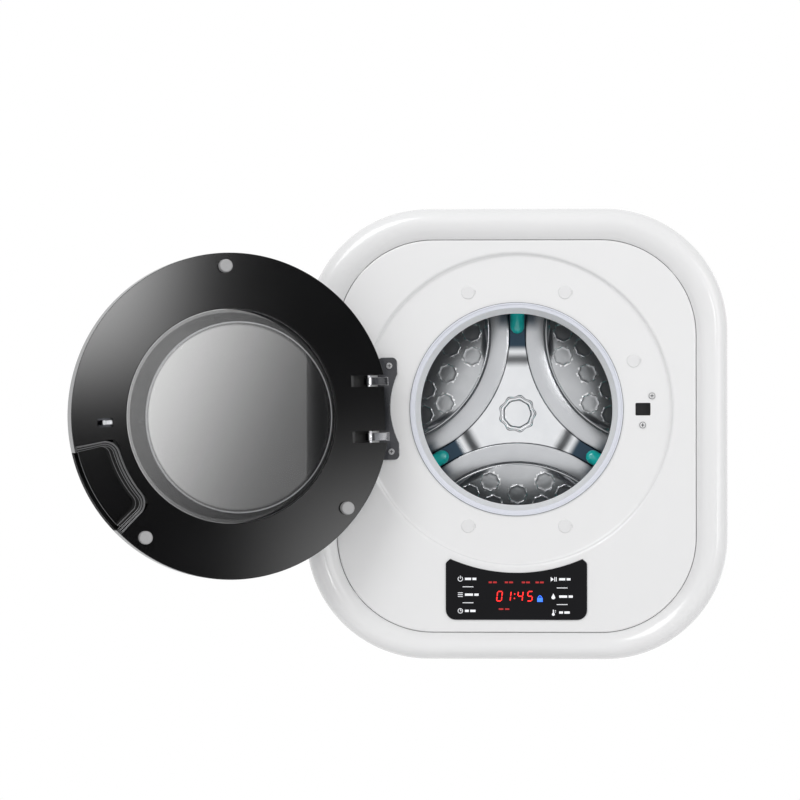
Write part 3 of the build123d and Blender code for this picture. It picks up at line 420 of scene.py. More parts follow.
# A lighter copy of the pressed steel for the bumps' raised edges: painted highlight.
BUMP_EDGE_HIGHLIGHT = Pressed("pressed_bump_edge_highlight", (0.9, 0.905, 0.915), (0.82, 0.83, 0.845), 0.16, 0.05, metal=1.0,
                      patch=60.0, bump=0.04)
# Darker copies of the pressed steel for the pockets and the ribs: painted shade.
SHADED_POCKET_STEEL = Pressed("pressed_pocket_painted_shade", (0.56, 0.57, 0.585), (0.4, 0.41, 0.425), 0.2, 0.07, metal=1.0,
                       patch=30.0, grain=700.0, bump=0.06)
SHADED_RIB_STEEL = Pressed("pressed_rib_painted_shade", (0.6, 0.61, 0.63), (0.5, 0.51, 0.53), 0.24, 0.07, metal=1.0, patch=30.0,
                    grain=700.0, bump=0.06)
# Drum wall steel made dark as painted shade inside the drum; the polished back mirrors it.
SHADED_DRUM_WALL = Finish("drum_wall_painted_shade", (0.45, 0.455, 0.47), (0.33, 0.335, 0.35), 0.3, 0.08, metal=1.0, grain=800.0,
                    bump=0.1)
BRIGHT_STEEL = Finish("bright_fittings", (0.78, 0.78, 0.8), (0.6, 0.6, 0.63), 0.24, 0.1, metal=1.0, patch=120.0,
                      bump=0.12)
GROUND_STEEL = Finish("ground_steel", (0.66, 0.67, 0.69), (0.55, 0.56, 0.58), 0.28, 0.08, metal=1.0,
                      stretch=(1.0, 12.0, 1.0), bump=0.15)
DARK_METAL = Finish("hinge_gunmetal", (0.055, 0.057, 0.065), (0.03, 0.031, 0.037), 0.26, 0.08, metal=0.7, coat=0.6,
                    patch=60.0, grain=1400.0, bump=0.15)
# Light metal for bevels and screw tops on the dark hinge: painted highlight.
METAL_EDGE_HIGHLIGHT = Finish("metal_edge_painted_highlight", (0.5, 0.5, 0.51), (0.32, 0.32, 0.33), 0.28, 0.08, metal=0.8, patch=90.0, bump=0.1)
CAST_METAL = Finish("cast_alloy", (0.5, 0.51, 0.53), (0.38, 0.39, 0.41), 0.46, 0.12, metal=0.95, patch=50.0,
                    grain=500.0, bump=0.4)
ZINC = Finish("galvanised_sheet", (0.62, 0.64, 0.67), (0.45, 0.47, 0.5), 0.42, 0.14, metal=0.9, patch=60.0,
              grain=300.0, bump=0.12)
GASKET = Finish("pale_gasket_rubber", (0.77, 0.79, 0.86), (0.73, 0.75, 0.825), 0.4, 0.06, coat=0.15, patch=30.0,
                grain=1200.0, bump=0.1)
# Painted light: the neck deep in the porthole is paler than the ring to offset its shade.
GASKET_NECK_LIGHTENED = Finish("gasket_neck_painted_light", (0.97, 0.98, 1.0), (0.94, 0.955, 0.985), 0.5, 0.06, coat=0.1, patch=30.0,
                     grain=1200.0, bump=0.05)
# Painted shadow: the gasket's outer edge is dark grey where it meets the panel.
GASKET_EDGE_SHADOW = Finish("gasket_edge_painted_shadow", (0.24, 0.25, 0.28), (0.18, 0.19, 0.21), 0.5, 0.08, bump=0.1)
BLACK_RUBBER = Finish("black_rubber", (0.02, 0.02, 0.021), (0.035, 0.035, 0.036), 0.7, 0.1, grain=1300.0, bump=0.4)
PAD_RUBBER = Finish("grey_pad_rubber", (0.36, 0.36, 0.365), (0.42, 0.42, 0.425), 0.55, 0.1, patch=80.0, grain=1600.0,
                    bump=0.3)
GREY_TUB = Finish("moulded_grey", (0.46, 0.47, 0.48), (0.4, 0.41, 0.42), 0.55, 0.1, grain=1100.0, bump=0.3)
DARK_PLASTIC = Finish("dark_moulding", (0.05, 0.05, 0.055), (0.075, 0.075, 0.08), 0.5, 0.1, grain=1300.0, bump=0.3)
PALE_PLASTIC = Finish("pale_moulding", (0.7, 0.7, 0.68), (0.62, 0.62, 0.6), 0.45, 0.08, grain=1100.0, bump=0.2)
MOTOR_COAT = Finish("motor_coat", (0.1, 0.105, 0.115), (0.14, 0.145, 0.155), 0.42, 0.1, metal=0.4, grain=700.0,
                    bump=0.3)
BOARD = Finish("circuit_board", (0.01, 0.1, 0.04), (0.02, 0.16, 0.07), 0.35, 0.1, coat=0.3, patch=200.0, bump=0.2)
TEAL = Finish("teal_paddles", (0.015, 0.74, 0.7), (0.03, 0.84, 0.8), 0.18, 0.04, coat=0.8, bump=0.04)
BOWL_GLASS = Smoked("clear_bowl_glass", (0.03, 0.031, 0.033), (0.02, 0.021, 0.023), 0.05, 0.02, patch=8.0,
                    bump=0.002, clear=0.02, dense=0.8)
BOWL_WALL = Smoked("shaded_bowl_wall", (0.03, 0.031, 0.033), (0.02, 0.021, 0.023), 0.05, 0.02, patch=8.0, bump=0.002,
                   clear=0.5, dense=0.6)
# Pale glass for the bowl's rounded front edge: painted highlight.
BOWL_EDGE_HIGHLIGHT = Smoked("bowl_edge_painted_highlight", (0.7, 0.71, 0.73), (0.56, 0.57, 0.59), 0.12, 0.04, bump=0.002, clear=0.28,
                   dense=0.7)
# Painted light: the pane is clearer towards the upper left and denser towards the lower right.
PANE_GLASS = Graded("smoked_pane", (0.03, 0.031, 0.033), (0.045, 0.046, 0.048), 0.06, 0.03, specular=0.2, patch=6.0,
                    bump=0.01, clear=0.13, dense=0.66)
# Printed white marks given a dim glow: painted light.
GLOWING_PRINT_WHITE = Lamp("printed_white_painted_glow", (0.75, 0.76, 0.78), (0.62, 0.63, 0.66), 0.5, 0.1, glow=Glow.DIM)
LIT_RED = Lamp("lit_red", (0.95, 0.02, 0.015), (0.8, 0.01, 0.01), 0.4, 0.1, glow=Glow.LIT)
FAINT_RED = Lamp("faint_red", (0.42, 0.01, 0.01), (0.3, 0.005, 0.005), 0.4, 0.1, glow=Glow.DIM)
LIT_BLUE = Lamp("lit_blue", (0.03, 0.16, 0.9), (0.02, 0.1, 0.7), 0.4, 0.1, glow=Glow.LIT)


class Skin:
    """One mesh, laid down as rows of points."""

    def __init__(self) -> None:
        """Start with no points and no faces."""
        self.points: list[Vector] = []
        self.faces: list[tuple[int, ...]] = []

    def row(self, points: Iterable[Vector]) -> list[int]:
        """Lay down a row of points and hand back their numbers."""
        start = len(self.points)
        self.points.extend(points)
        return list(range(start, len(self.points)))

    def bridge(self, low: list[int], high: list[int], closed: bool = True) -> None:
        """Join two rows of the same length with faces."""
        count = len(low)
        for index in range(count if closed else count - 1):
            on = (index + 1) % count
            self.faces.append((low[index], low[on], high[on], high[index]))

    def loft(self, rows: Iterable[Iterable[Vector]], cyclic: bool = False, capped: bool = False,
             closed: bool = True) -> "Skin":
        """Join many rows in order.

        Args:
            rows: The rows of points.
            cyclic: Whether the last row joins the first.
            capped: Whether the end rows are closed with a face.
            closed: Whether each row joins its own end.

        Returns:
            This skin.
        """
        made = [self.row(row) for row in rows]
        for low, high in zip(made, made[1:]):
            self.bridge(low, high, closed)
        if cyclic:
            self.bridge(made[-1], made[0], closed)
        if capped:
            self.faces.append(tuple(made[0]))
            self.faces.append(tuple(reversed(made[-1])))
        return self

    def lathe(self, profile: Sequence[Pair], z: float, x: float = 0.0, steps: int = 160,
              closed: bool = True, drop: Callable[[float], float] = lambda depth: 0.0) -> "Skin":
        """Turn a (radius, depth) profile about the depth axis.

        Args:
            profile: Its points.
            z: The axis' height.
            x: The axis' place to the right.
            steps: Segments round the axis.
            closed: Whether the profile joins its own end.
            drop: How far the axis lies below z at a depth.

        Returns:
            This skin.
        """
        rings = []
        for step in range(steps):
            angle = 360.0 * step / steps
            rings.append([at(*self.spread(radius, depth, angle, x, z - drop(depth))) for radius, depth in profile])
        return self.loft(rings, cyclic=True, closed=closed)

    @staticmethod
    def spread(radius: float, depth: float, angle: float, x: float, z: float) -> tuple[float, float, float]:
        """X, depth and height of a point of a turned profile."""
        right, up = polar(radius, angle, x, z)
        return right, depth, up

    def prism(self, outline: Sequence[Pair], near: float, far: float) -> "Skin":
        """A flat shape in X and Z with thickness between two depths."""
        return self.loft([[at(x, depth, z) for x, z in outline] for depth in (near, far)], capped=True)

    def mesh(self, name: str, place: Matrix | None = None, sharp: float = 30.0) -> bpy.types.Mesh:
        """The rows as a mesh, moved by a matrix if there is one."""
        made = bpy.data.meshes.new(name)
        made.from_pydata([tuple(point) for point in self.points], [], self.faces)
        if place is not None:
            made.transform(place)
        tidy(made, sharp)
        return made

    def piece(self, name: str, finish: Finish, body: Body, replaces: Sequence[str] = (),
              place: Matrix | None = None, sharp: float = 35.0) -> bpy.types.Object:
        """Turn the rows into an object.

        Args:
            name: The object's name.
            finish: Its surface.
            body: The body it rides on.
            replaces: CAD nodes that it stands for.
            place: A matrix for its points.
            sharp: Edges that turn by more than this many degrees stay sharp.

        Returns:
            The object.
        """
        made = enter(bpy.data.objects.new(name, self.mesh(name, place, sharp)), finish, body, replaces)
        level(made)
        return made


def tidy(mesh: bpy.types.Mesh, sharp: float, merge: float = 1e-6) -> None:
    """Merge doubled points, turn normals outwards and shade smooth up to an angle."""
    work = bmesh.new()
    work.from_mesh(mesh)
    bmesh.ops.remove_doubles(work, verts=work.verts, dist=merge)
    bmesh.ops.recalc_face_normals(work, faces=work.faces)
    for face in work.faces:
        face.smooth = True
    for edge in work.edges:
        edge.smooth = len(edge.link_faces) == 2 and edge.calc_face_angle(0.0) < math.radians(sharp)
    work.to_mesh(mesh)
    work.free()


def enter(piece: bpy.types.Object, finish: Finish, body: Body, replaces: Sequence[str] = ()) -> bpy.types.Object:
    """Link a piece, dress it, let it ride and report it."""
    bpy.context.collection.objects.link(piece)
    piece.data.materials.clear()
    piece.data.materials.append(finish.build())
    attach(piece, body.value)
    if replaces:
        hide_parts(*replaces)
    LOG.info("%s on %s", piece.name, body.value)
    return piece


def level(piece: bpy.types.Object) -> None:
    """Let the large flat faces rule the shading of a piece."""
    even = piece.modifiers.new("level", "WEIGHTED_NORMAL")
    even.keep_sharp = True
    even.weight = 80


def carve(piece: bpy.types.Object, tools: Sequence[Skin], place: Matrix | None = None, sharp: float = 35.0) -> None:
    """Cut tools out of a piece.

    Args:
        piece: The object to cut.
        tools: The shapes to take away.
        place: A matrix for the tools' points.
        sharp: Edges that turn by more than this many degrees stay sharp.
    """
    cutters = []
    piece.modifiers.clear()
    for number, tool in enumerate(tools):
        cutter = bpy.data.objects.new(f"tool_{number}", tool.mesh(f"tool_{number}", place))
        bpy.context.collection.objects.link(cutter)
        cut = piece.modifiers.new("cut", "BOOLEAN")
        cut.operation = "DIFFERENCE"
        cut.solver = "EXACT"
        cut.object = cutter
        cutters.append(cutter)
    graph = bpy.context.evaluated_depsgraph_get()
    made = bpy.data.meshes.new_from_object(piece.evaluated_get(graph))
    piece.modifiers.clear()
    piece.data = made
    tidy(made, sharp)
    level(piece)
    for cutter in cutters:
        bpy.data.objects.remove(cutter)


def soften(node: bpy.types.Object, name: str, finish: Finish, body: Body, width: float,
           edges: Finish | None = None) -> bpy.types.Object:
    """A copy of a CAD node with its sharp edges broken by a small bevel.

    Args:
        node: The CAD node's object.
        name: The new piece's name.
        finish: Its surface.
        body: The body it rides on.
        width: The bevel's width in millimetres.
        edges: The bevel's own finish, if it has one.

    Returns:
        The piece, which stands for the node.
    """
    mesh = node.data.copy()
    work = bmesh.new()
    work.from_mesh(mesh)
    bmesh.ops.remove_doubles(work, verts=work.verts, dist=5e-6)
    bmesh.ops.dissolve_limit(work, angle_limit=math.radians(1.0), verts=work.verts, edges=work.edges)
    work.to_mesh(mesh)
    work.free()
    if "custom_normal" in mesh.attributes:
        mesh.attributes.remove(mesh.attributes["custom_normal"])
    tidy(mesh, 30.0, 5e-6)
    piece = enter(bpy.data.objects.new(name, mesh), finish, body, (node.name,))
    bevel = piece.modifiers.new("edges", "BEVEL")
    bevel.width = width * 0.001
    bevel.segments = 3
    bevel.limit_method = "ANGLE"
    bevel.angle_limit = math.radians(40.0)
    bevel.harden_normals = True
    if edges:
        piece.data.materials.append(edges.build())
        bevel.material = 1
    return piece


def repaint(piece: bpy.types.Object, finish: Finish, chosen: Callable[[Vector, Vector], bool]) -> None:
    """Give some faces of a piece a second finish.

    Args:
        piece: The object.
        finish: The second finish.
        chosen: Whether a face gets it, from its centre and its normal.
    """
    piece.data.materials.append(finish.build())
    for face in piece.data.polygons:
        if chosen(face.center, face.normal):
            face.material_index = len(piece.data.materials) - 1


@dataclass
class Cabinet:
    """The shell, its soft rim, the front panel and what is screwed to them."""

    width: float = 550.0
    height: float = 588.0
    corner: float = 160.0
    rim: float = 41.0
    rim_low: float = 35.0
    inner_corner: float = 125.0
    back_d: float = 12.0
    seam_d: float = 232.0
    seam: float = 1.2
    wall: float = 2.5
    lift: float = 50.0
    panel_d: float = 270.0
    seat: float = 6.0
    seat_radius: float = 204.0
    porthole: float = 136.0
    door_z: float = 32.0
    gap: float = 0.6
    hook_x: float = 164.7
    slot_half: Pair = (9.8, 8.2)
    screw_holes: tuple[Pair, ...] = ((176.4, 49.3), (164.3, 11.3))
    screw_hole: float = 2.3
    tick_circle: float = 165.0
    tick_shift: float = 9.6
    tick_half: Pair = (0.7, 2.2)
    tick_angles: tuple[float, ...] = (22.5, 67.5, 112.5, -67.5, -112.5)
    services: tuple[tuple[float, ...], ...] = ((-110, 50, 22, 100, 320), (100, 115, 18, -320, -100),
                                               (40, 50, 8, -320, -100))
    rim_profile: tuple[Pair, ...] = ((0.0, 0.42), (0.004, 0.52), (0.05, 0.76), (0.2, 0.93), (0.44, 1.0), (0.7, 0.94),
                                     (0.9, 0.82), (1.0, 0.72))

    def loop(self, share: float, trim: float = 0.0) -> list[Pair]:
        """The rim's outline.

        Args:
            share: 0 at the cabinet's edge and 1 at the rim's inner edge.
            trim: How far inside that the outline lies.

        Returns:
            X and Z of its points, the same number for every outline.
        """
        width = self.width - 2 * share * self.rim - 2 * trim
        height = self.height - share * (self.rim + self.rim_low) - 2 * trim
        corner = self.corner + share * (self.inner_corner - self.corner) - trim
        shift = share * (self.rim_low - self.rim) / 2
        made: list[Pair] = []
        ends = ((1, 1, 0), (-1, 1, 90), (-1, -1, 180), (1, -1, 270))
        for right, up, start in ends:
            x = right * (width / 2 - corner)
            z = up * (height / 2 - corner) + shift
            made.extend(polar(corner, start + 90 * step / 30, x, z) for step in range(31))
        filled: list[Pair] = []
        for index, point in enumerate(made):
            filled.append(point)
            if index % 31 == 30:
                on = made[(index + 1) % len(made)]
                for step in range(1, 12):
                    filled.append((point[0] + (on[0] - point[0]) * step / 12,
                                   point[1] + (on[1] - point[1]) * step / 12))
        return filled

    def rows(self, steps: Iterable[tuple[float, float, float]]) -> list[list[Vector]]:
        """Rows of points from (share, trim, depth) steps."""
        return [[at(x, depth, z) for x, z in self.loop(share, trim)] for share, trim, depth in steps]

    def build_shell(self) -> None:
        """The side wall with its rolled back edge, its seam and the openings for hose, drain and cord."""
        seam = self.seam_d - self.seam / 2
        steps = [(0, trim, depth) for trim, depth in eased((
            (self.wall, self.back_d, 0.6), (0.0, self.back_d, 1.6), (0.0, seam, 0.5), (self.seam, seam, 0.0),
            (self.seam, self.seam_d, 0.0), (self.wall, self.seam_d, 0.0)))]
        shell = Skin().loft(self.rows(steps), cyclic=True).piece("side_wall", WHITE_SHELL, Body.CABINET, ("shell",))
        tools = []
        for x, depth, radius, low, high in self.services:
            ring = circle(radius, x, depth, 48)
            tools.append(Skin().loft([[at(px, pd, z) for px, pd in ring] for z in (low, high)], capped=True))
        carve(shell, tools)

    def build_rim(self) -> None:
        """The soft roll round the front."""
        seam = self.seam_d + self.seam / 2
        curve = [(share * self.rim, self.seam_d + self.lift * height) for share, height in self.rim_profile]
        steps = [(0.0, self.seam, self.seam_d), (0.0, self.seam, seam), (0.0, 0.0, seam), (0.0, 0.0, seam + 0.01)]
        steps += [(across / self.rim, 0.0, depth) for across, depth in through(curve, 5)]
        steps += [(1.0, 0.0, curve[-1][1] - 1.0), (1.0, 0.0, self.panel_d - 14), (1.0, -3.0, self.panel_d - 14)]
        steps += [(0.5, 0.0, self.seam_d + self.lift - 4.0), (0.08, 1.0, self.seam_d + self.lift * 0.72),
                  (0.0, 3.0, self.seam_d)]
        Skin().loft(self.rows(steps), cyclic=True).piece("soft_rim", WHITE_FRONT, Body.CABINET, ("front_frame",),
                                                         sharp=42.0)

    def build_panel(self) -> None:
        """The flat face with the door's round seat, the porthole and the hook's slot."""
        floor = self.panel_d - self.seat
        outer = self.loop(1.0, self.gap)
        turns = [math.degrees(math.atan2(z - self.door_z, x)) for x, z in outer]
        edge = [(trim, depth) for trim, depth in eased(((0.0, floor - 3, 0.0), (0.0, self.panel_d, 2.2),
                                                        (4.6, self.panel_d, 0.0)), closed=False)]
        rows = [[at(x, depth, z) for x, z in self.loop(1.0, self.gap + trim)] for trim, depth in edge]
        disc = eased(((self.seat_radius + 5.4, self.panel_d, 0.0), (self.seat_radius, self.panel_d, 5.0),
                      (self.seat_radius - 2.4, floor, 4.0), (self.porthole, floor, 1.2),
                      (self.porthole, floor - 3, 0.0), (self.seat_radius + 3, floor - 3, 0.0)), steps=6, closed=False)
        for radius, depth in disc:
            rows.append([at(*Skin.spread(radius, depth, turn, 0.0, self.door_z)) for turn in turns])
        rows.append([at(x, self.panel_d - 3, z) for x, z in self.loop(1.0, self.gap + 8)])
        panel = Skin().loft(rows, cyclic=True).piece("front_face", WHITE_FRONT, Body.CABINET, ("front_panel",))
        tools = [Skin().prism(box(self.hook_x, self.door_z, *self.slot_half, 1.5), floor - 10, self.panel_d)]
        tools.append(Skin().prism(Controls().outline(-5.0), floor - 12, self.panel_d + 5))
        tools += [Skin().prism(circle(self.screw_hole, x, z), floor - 10, self.panel_d) for x, z in self.screw_holes]
        for angle in self.tick_angles:
            x, z = polar(self.tick_circle, angle, self.tick_shift, self.door_z)
            tools.append(Skin().prism(box(x, z, *self.tick_half, 0.5, 3), floor - 1.4, self.panel_d))
        carve(panel, tools)

    @staticmethod
    def facing(depth: float) -> Callable[[Vector, Vector], bool]:
        """A choice of the flat faces that look forward at a depth."""
        return lambda centre, normal: normal.y < -0.9 and abs(centre.y * 1000 + depth) < 0.3

    def build(self, nodes: dict[str, bpy.types.Object]) -> None:
        """Build the cabinet's pieces."""
        self.build_shell()
        self.build_rim()
        self.build_panel()
        soften(nodes["screw_caps"], "round_caps", WHITE_CAP, Body.CABINET, 0.25)
        soften(nodes["rear_panel"], "back_pan", ZINC, Body.CABINET, 0.6)
        soften(nodes["wall_bushes"], "wall_feet", BLACK_RUBBER, Body.CABINET, 1.2)
        # The hinge plate's bevels carry a painted highlight.
        hinge = soften(nodes["hinge_bracket"], "hinge_plate", DARK_METAL, Body.CABINET, 0.7, METAL_EDGE_HIGHLIGHT)
        front = -0.001 * (self.panel_d + 4)
        # Painted highlights: bands of the hinge arms' front near the pin and at the plate are bright steel.
        repaint(hinge, BRIGHT_STEEL, lambda centre, normal: centre.y < front and (
            centre.x > -0.1755 or -0.1905 < centre.x < -0.187))
        # Hinge screws get a painted glint on their tops; lock screws get white tops, while the rest of each head stays
        # dark metal as painted shade.
        for name, held in (("hinge_screws", self.panel_d - 1.2), ("lock_screws", self.panel_d - 4.2)):
            screws = soften(nodes[name], f"{name}_heads", DARK_METAL, Body.CABINET, 0.15)
            top = WHITE_CAP if name == "lock_screws" else METAL_EDGE_HIGHLIGHT
            repaint(screws, top, self.facing(held))


@dataclass
class Controls:
    """The black glass with its printed marks and its display."""

    half: float = 92.0
    low: float = -242.4
    high: float = -166.0
    door_z: float = 32.0
    arc: float = 213.0
    face_d: float = 271.6
    ink: float = 0.12
    left: tuple[float, ...] = (-189.0, -209.5, -230.6)
    right: tuple[float, ...] = (-189.3, -211.8, -232.5)
    icon_left: float = -73.0
    icon_right: float = 48.0
    time_z: float = -211.4
    time_x: tuple[float, ...] = (-22.0, -10.6, 5.0, 17.6)
    time_lit: tuple[str, ...] = ("abcdef", "bc", "fgbc", "afgcd")
    faint_x: tuple[float, ...] = (-34.0, -13.0, 9.0, 27.0)
    lock_x: float = 30.6

    def outline(self, grow: float) -> list[Pair]:
        """The glass's outline, larger all round by grow."""
        half = self.half + grow
        low = self.low - grow
        arc = self.arc - grow
        top = self.door_z - math.sqrt(arc ** 2 - (half - 6) ** 2)
        side = [(-half, top - 5, 5.0), (-half, low, 13.0 + grow), (half, low, 13.0 + grow), (half, top - 5, 5.0)]
        made = eased([(-half + 6, top, 0.0), *side, (half - 6, top, 0.0)], steps=8, closed=False)
        turn = math.degrees(math.asin((half - 6) / arc))
        steps = 40
        made += [polar(arc, 270 + turn - 2 * turn * step / steps, 0.0, self.door_z) for step in range(1, steps)]
        return made

    def build_glass(self) -> None:
        """The glass plate with a painted highlight along its right and lower edges."""
        rows = []
        for grow, depth in ((-5.3, self.face_d - 3), (-5.3, self.face_d - 1.6), (0.0, self.face_d - 1.6),
                            (0.0, self.face_d - 0.5), (-0.25, self.face_d - 0.12), (-0.7, self.face_d)):
            rows.append([at(x, depth, z) for x, z in self.outline(grow)])
        glass = Skin().loft(rows, capped=True).piece("panel_glass", BLACK_GLASS, Body.CABINET, ("control_glass",))
        repaint(glass, GLASS_EDGE_HIGHLIGHT, lambda centre, normal: -0.97 < normal.y < -0.02 and (
            normal.x > 0.3 or normal.z < -0.3))

    def print_shapes(self, name: str, finish: Finish, shapes: Iterable[Sequence[Pair]]) -> None:
        """Print flat shapes on the glass as one piece."""
        skin = Skin()
        for outline in shapes:
            skin.prism(outline, self.face_d - 0.02, self.face_d + self.ink)
        skin.piece(name, finish, Body.CABINET)

    @staticmethod
    def bar(x: float, z: float, width: float, height: float, lean: float = 0.0) -> list[Pair]:
        """A bar about a point, its top leaning to the right."""
        return [(x - width / 2 - lean, z - height / 2), (x + width / 2 - lean, z - height / 2),
                (x + width / 2 + lean, z + height / 2), (x - width / 2 + lean, z + height / 2)]

    @staticmethod
    def hoop(x: float, z: float, radius: float, wall: float, start: float = 0.0,
             end: float = 360.0) -> list[list[Pair]]:
        """A ring or part of one, as short flat pieces."""
        steps = 20
        made = []
        for step in range(steps):
            low = start + (end - start) * step / steps
            high = start + (end - start) * (step + 1) / steps
            made.append([polar(radius - wall, low, x, z), polar(radius, low, x, z), polar(radius, high, x, z),
                         polar(radius - wall, high, x, z)])
        return made

    def icons(self) -> list[list[Pair]]:
        """Plain pictures for power, programs, delay, start, rinse and warmth, with a dash under each."""
        x = self.icon_left
        power, lines, clock = self.left
        made = self.hoop(x, power, 3.4, 0.8, 120.0, 420.0) + [self.bar(x, power + 2.2, 0.8, 4.0)]
        made += [self.bar(x, lines + step, 6.4, 0.9) for step in (-2.4, 0.0, 2.4)]
        made += self.hoop(x, clock, 3.4, 0.8) + [self.bar(x, clock + 1.0, 0.8, 2.4), self.bar(x + 1.0, clock, 2.2, 0.8)]
        x = self.icon_right
        start, rinse, warm = self.right
        made.append([(x - 3.4, start - 3.0), (x + 0.6, start), (x - 3.4, start + 3.0)])
        made += [self.bar(x + 1.8, start, 1.0, 5.6), self.bar(x + 3.8, start, 1.0, 5.6)]
        made.append([(x - 2.6, rinse - 1.0), *[polar(2.5, 200 + 140 * step / 10, x, rinse - 1.0) for step in range(11)],
                     (x + 2.6, rinse - 1.0), (x, rinse + 4.0)])
        made += [circle(1.9, x, warm - 2.4), self.bar(x, warm + 1.0, 1.3, 5.2),
                 self.bar(x + 2.6, warm + 2.4, 1.6, 0.7), self.bar(x + 2.6, warm + 0.6, 1.6, 0.7)]
        for heights, middle in ((self.left, -58.0), (self.right, 64.5)):
            for number, z in enumerate(heights):
                widths = ((8.0, 5.0), (10.5, 5.5), (5.0, 7.0))[number]
                spot = middle - 9.0
                for width in widths:
                    made.append(self.bar(spot + width / 2, z, width, 3.0))
                    spot += width + 1.8
                if number < 2:
                    made.append(self.bar(middle - 5.0, (z + heights[number + 1]) / 2, 14.0, 0.9))
        return made

    def digit(self, lit: str, x: float, z: float) -> list[list[Pair]]:
        """Seven-segment strokes of one numeral."""
        w, h, t = 3.1, 6.2, 1.3
        slant = 0.12
        strokes = {"a": (0, h, 1), "g": (0, 0, 1), "d": (0, -h, 1), "f": (-w, h / 2, 0), "b": (w, h / 2, 0),
                   "e": (-w, -h / 2, 0), "c": (w, -h / 2, 0)}
        made = []
        for key in lit:
            right, up, flat = strokes[key]
            spot = x + right + up * slant
            if flat:
                made.append(self.bar(spot, z + up, 2 * w - t, t, slant * t / 2))
            else:
                made.append(self.bar(spot, z + up, t, h - t, slant * (h - t) / 2))
        return made

    def build(self) -> None:
        """Build the glass and everything printed or lit on it."""
        self.build_glass()
        self.print_shapes("printed_marks", GLOWING_PRINT_WHITE, self.icons())
        time: list[list[Pair]] = []
        for lit, x in zip(self.time_lit, self.time_x):
            time += self.digit(lit, x, self.time_z)
        time += [circle(0.8, -2.2, -208.6), circle(0.8, -2.6, -214.2)]
        self.print_shapes("lit_time", LIT_RED, time)
        faint = [self.bar(x + step, -193.4, width, 2.2) for x in self.faint_x
                 for step, width in ((0.0, 4.2), (6.0, 5.0))]
        faint += [self.bar(-20.0, -228.2, 6.0, 2.0), self.bar(-12.0, -228.2, 5.4, 2.0)]
        self.print_shapes("faint_marks", FAINT_RED, faint)
        lock = self.hoop(self.lock_x, -212.8, 2.4, 0.9, 0.0, 180.0) + [self.bar(self.lock_x, -216.0, 7.0, 5.4)]
        self.print_shapes("lit_lock", LIT_BLUE, lock)


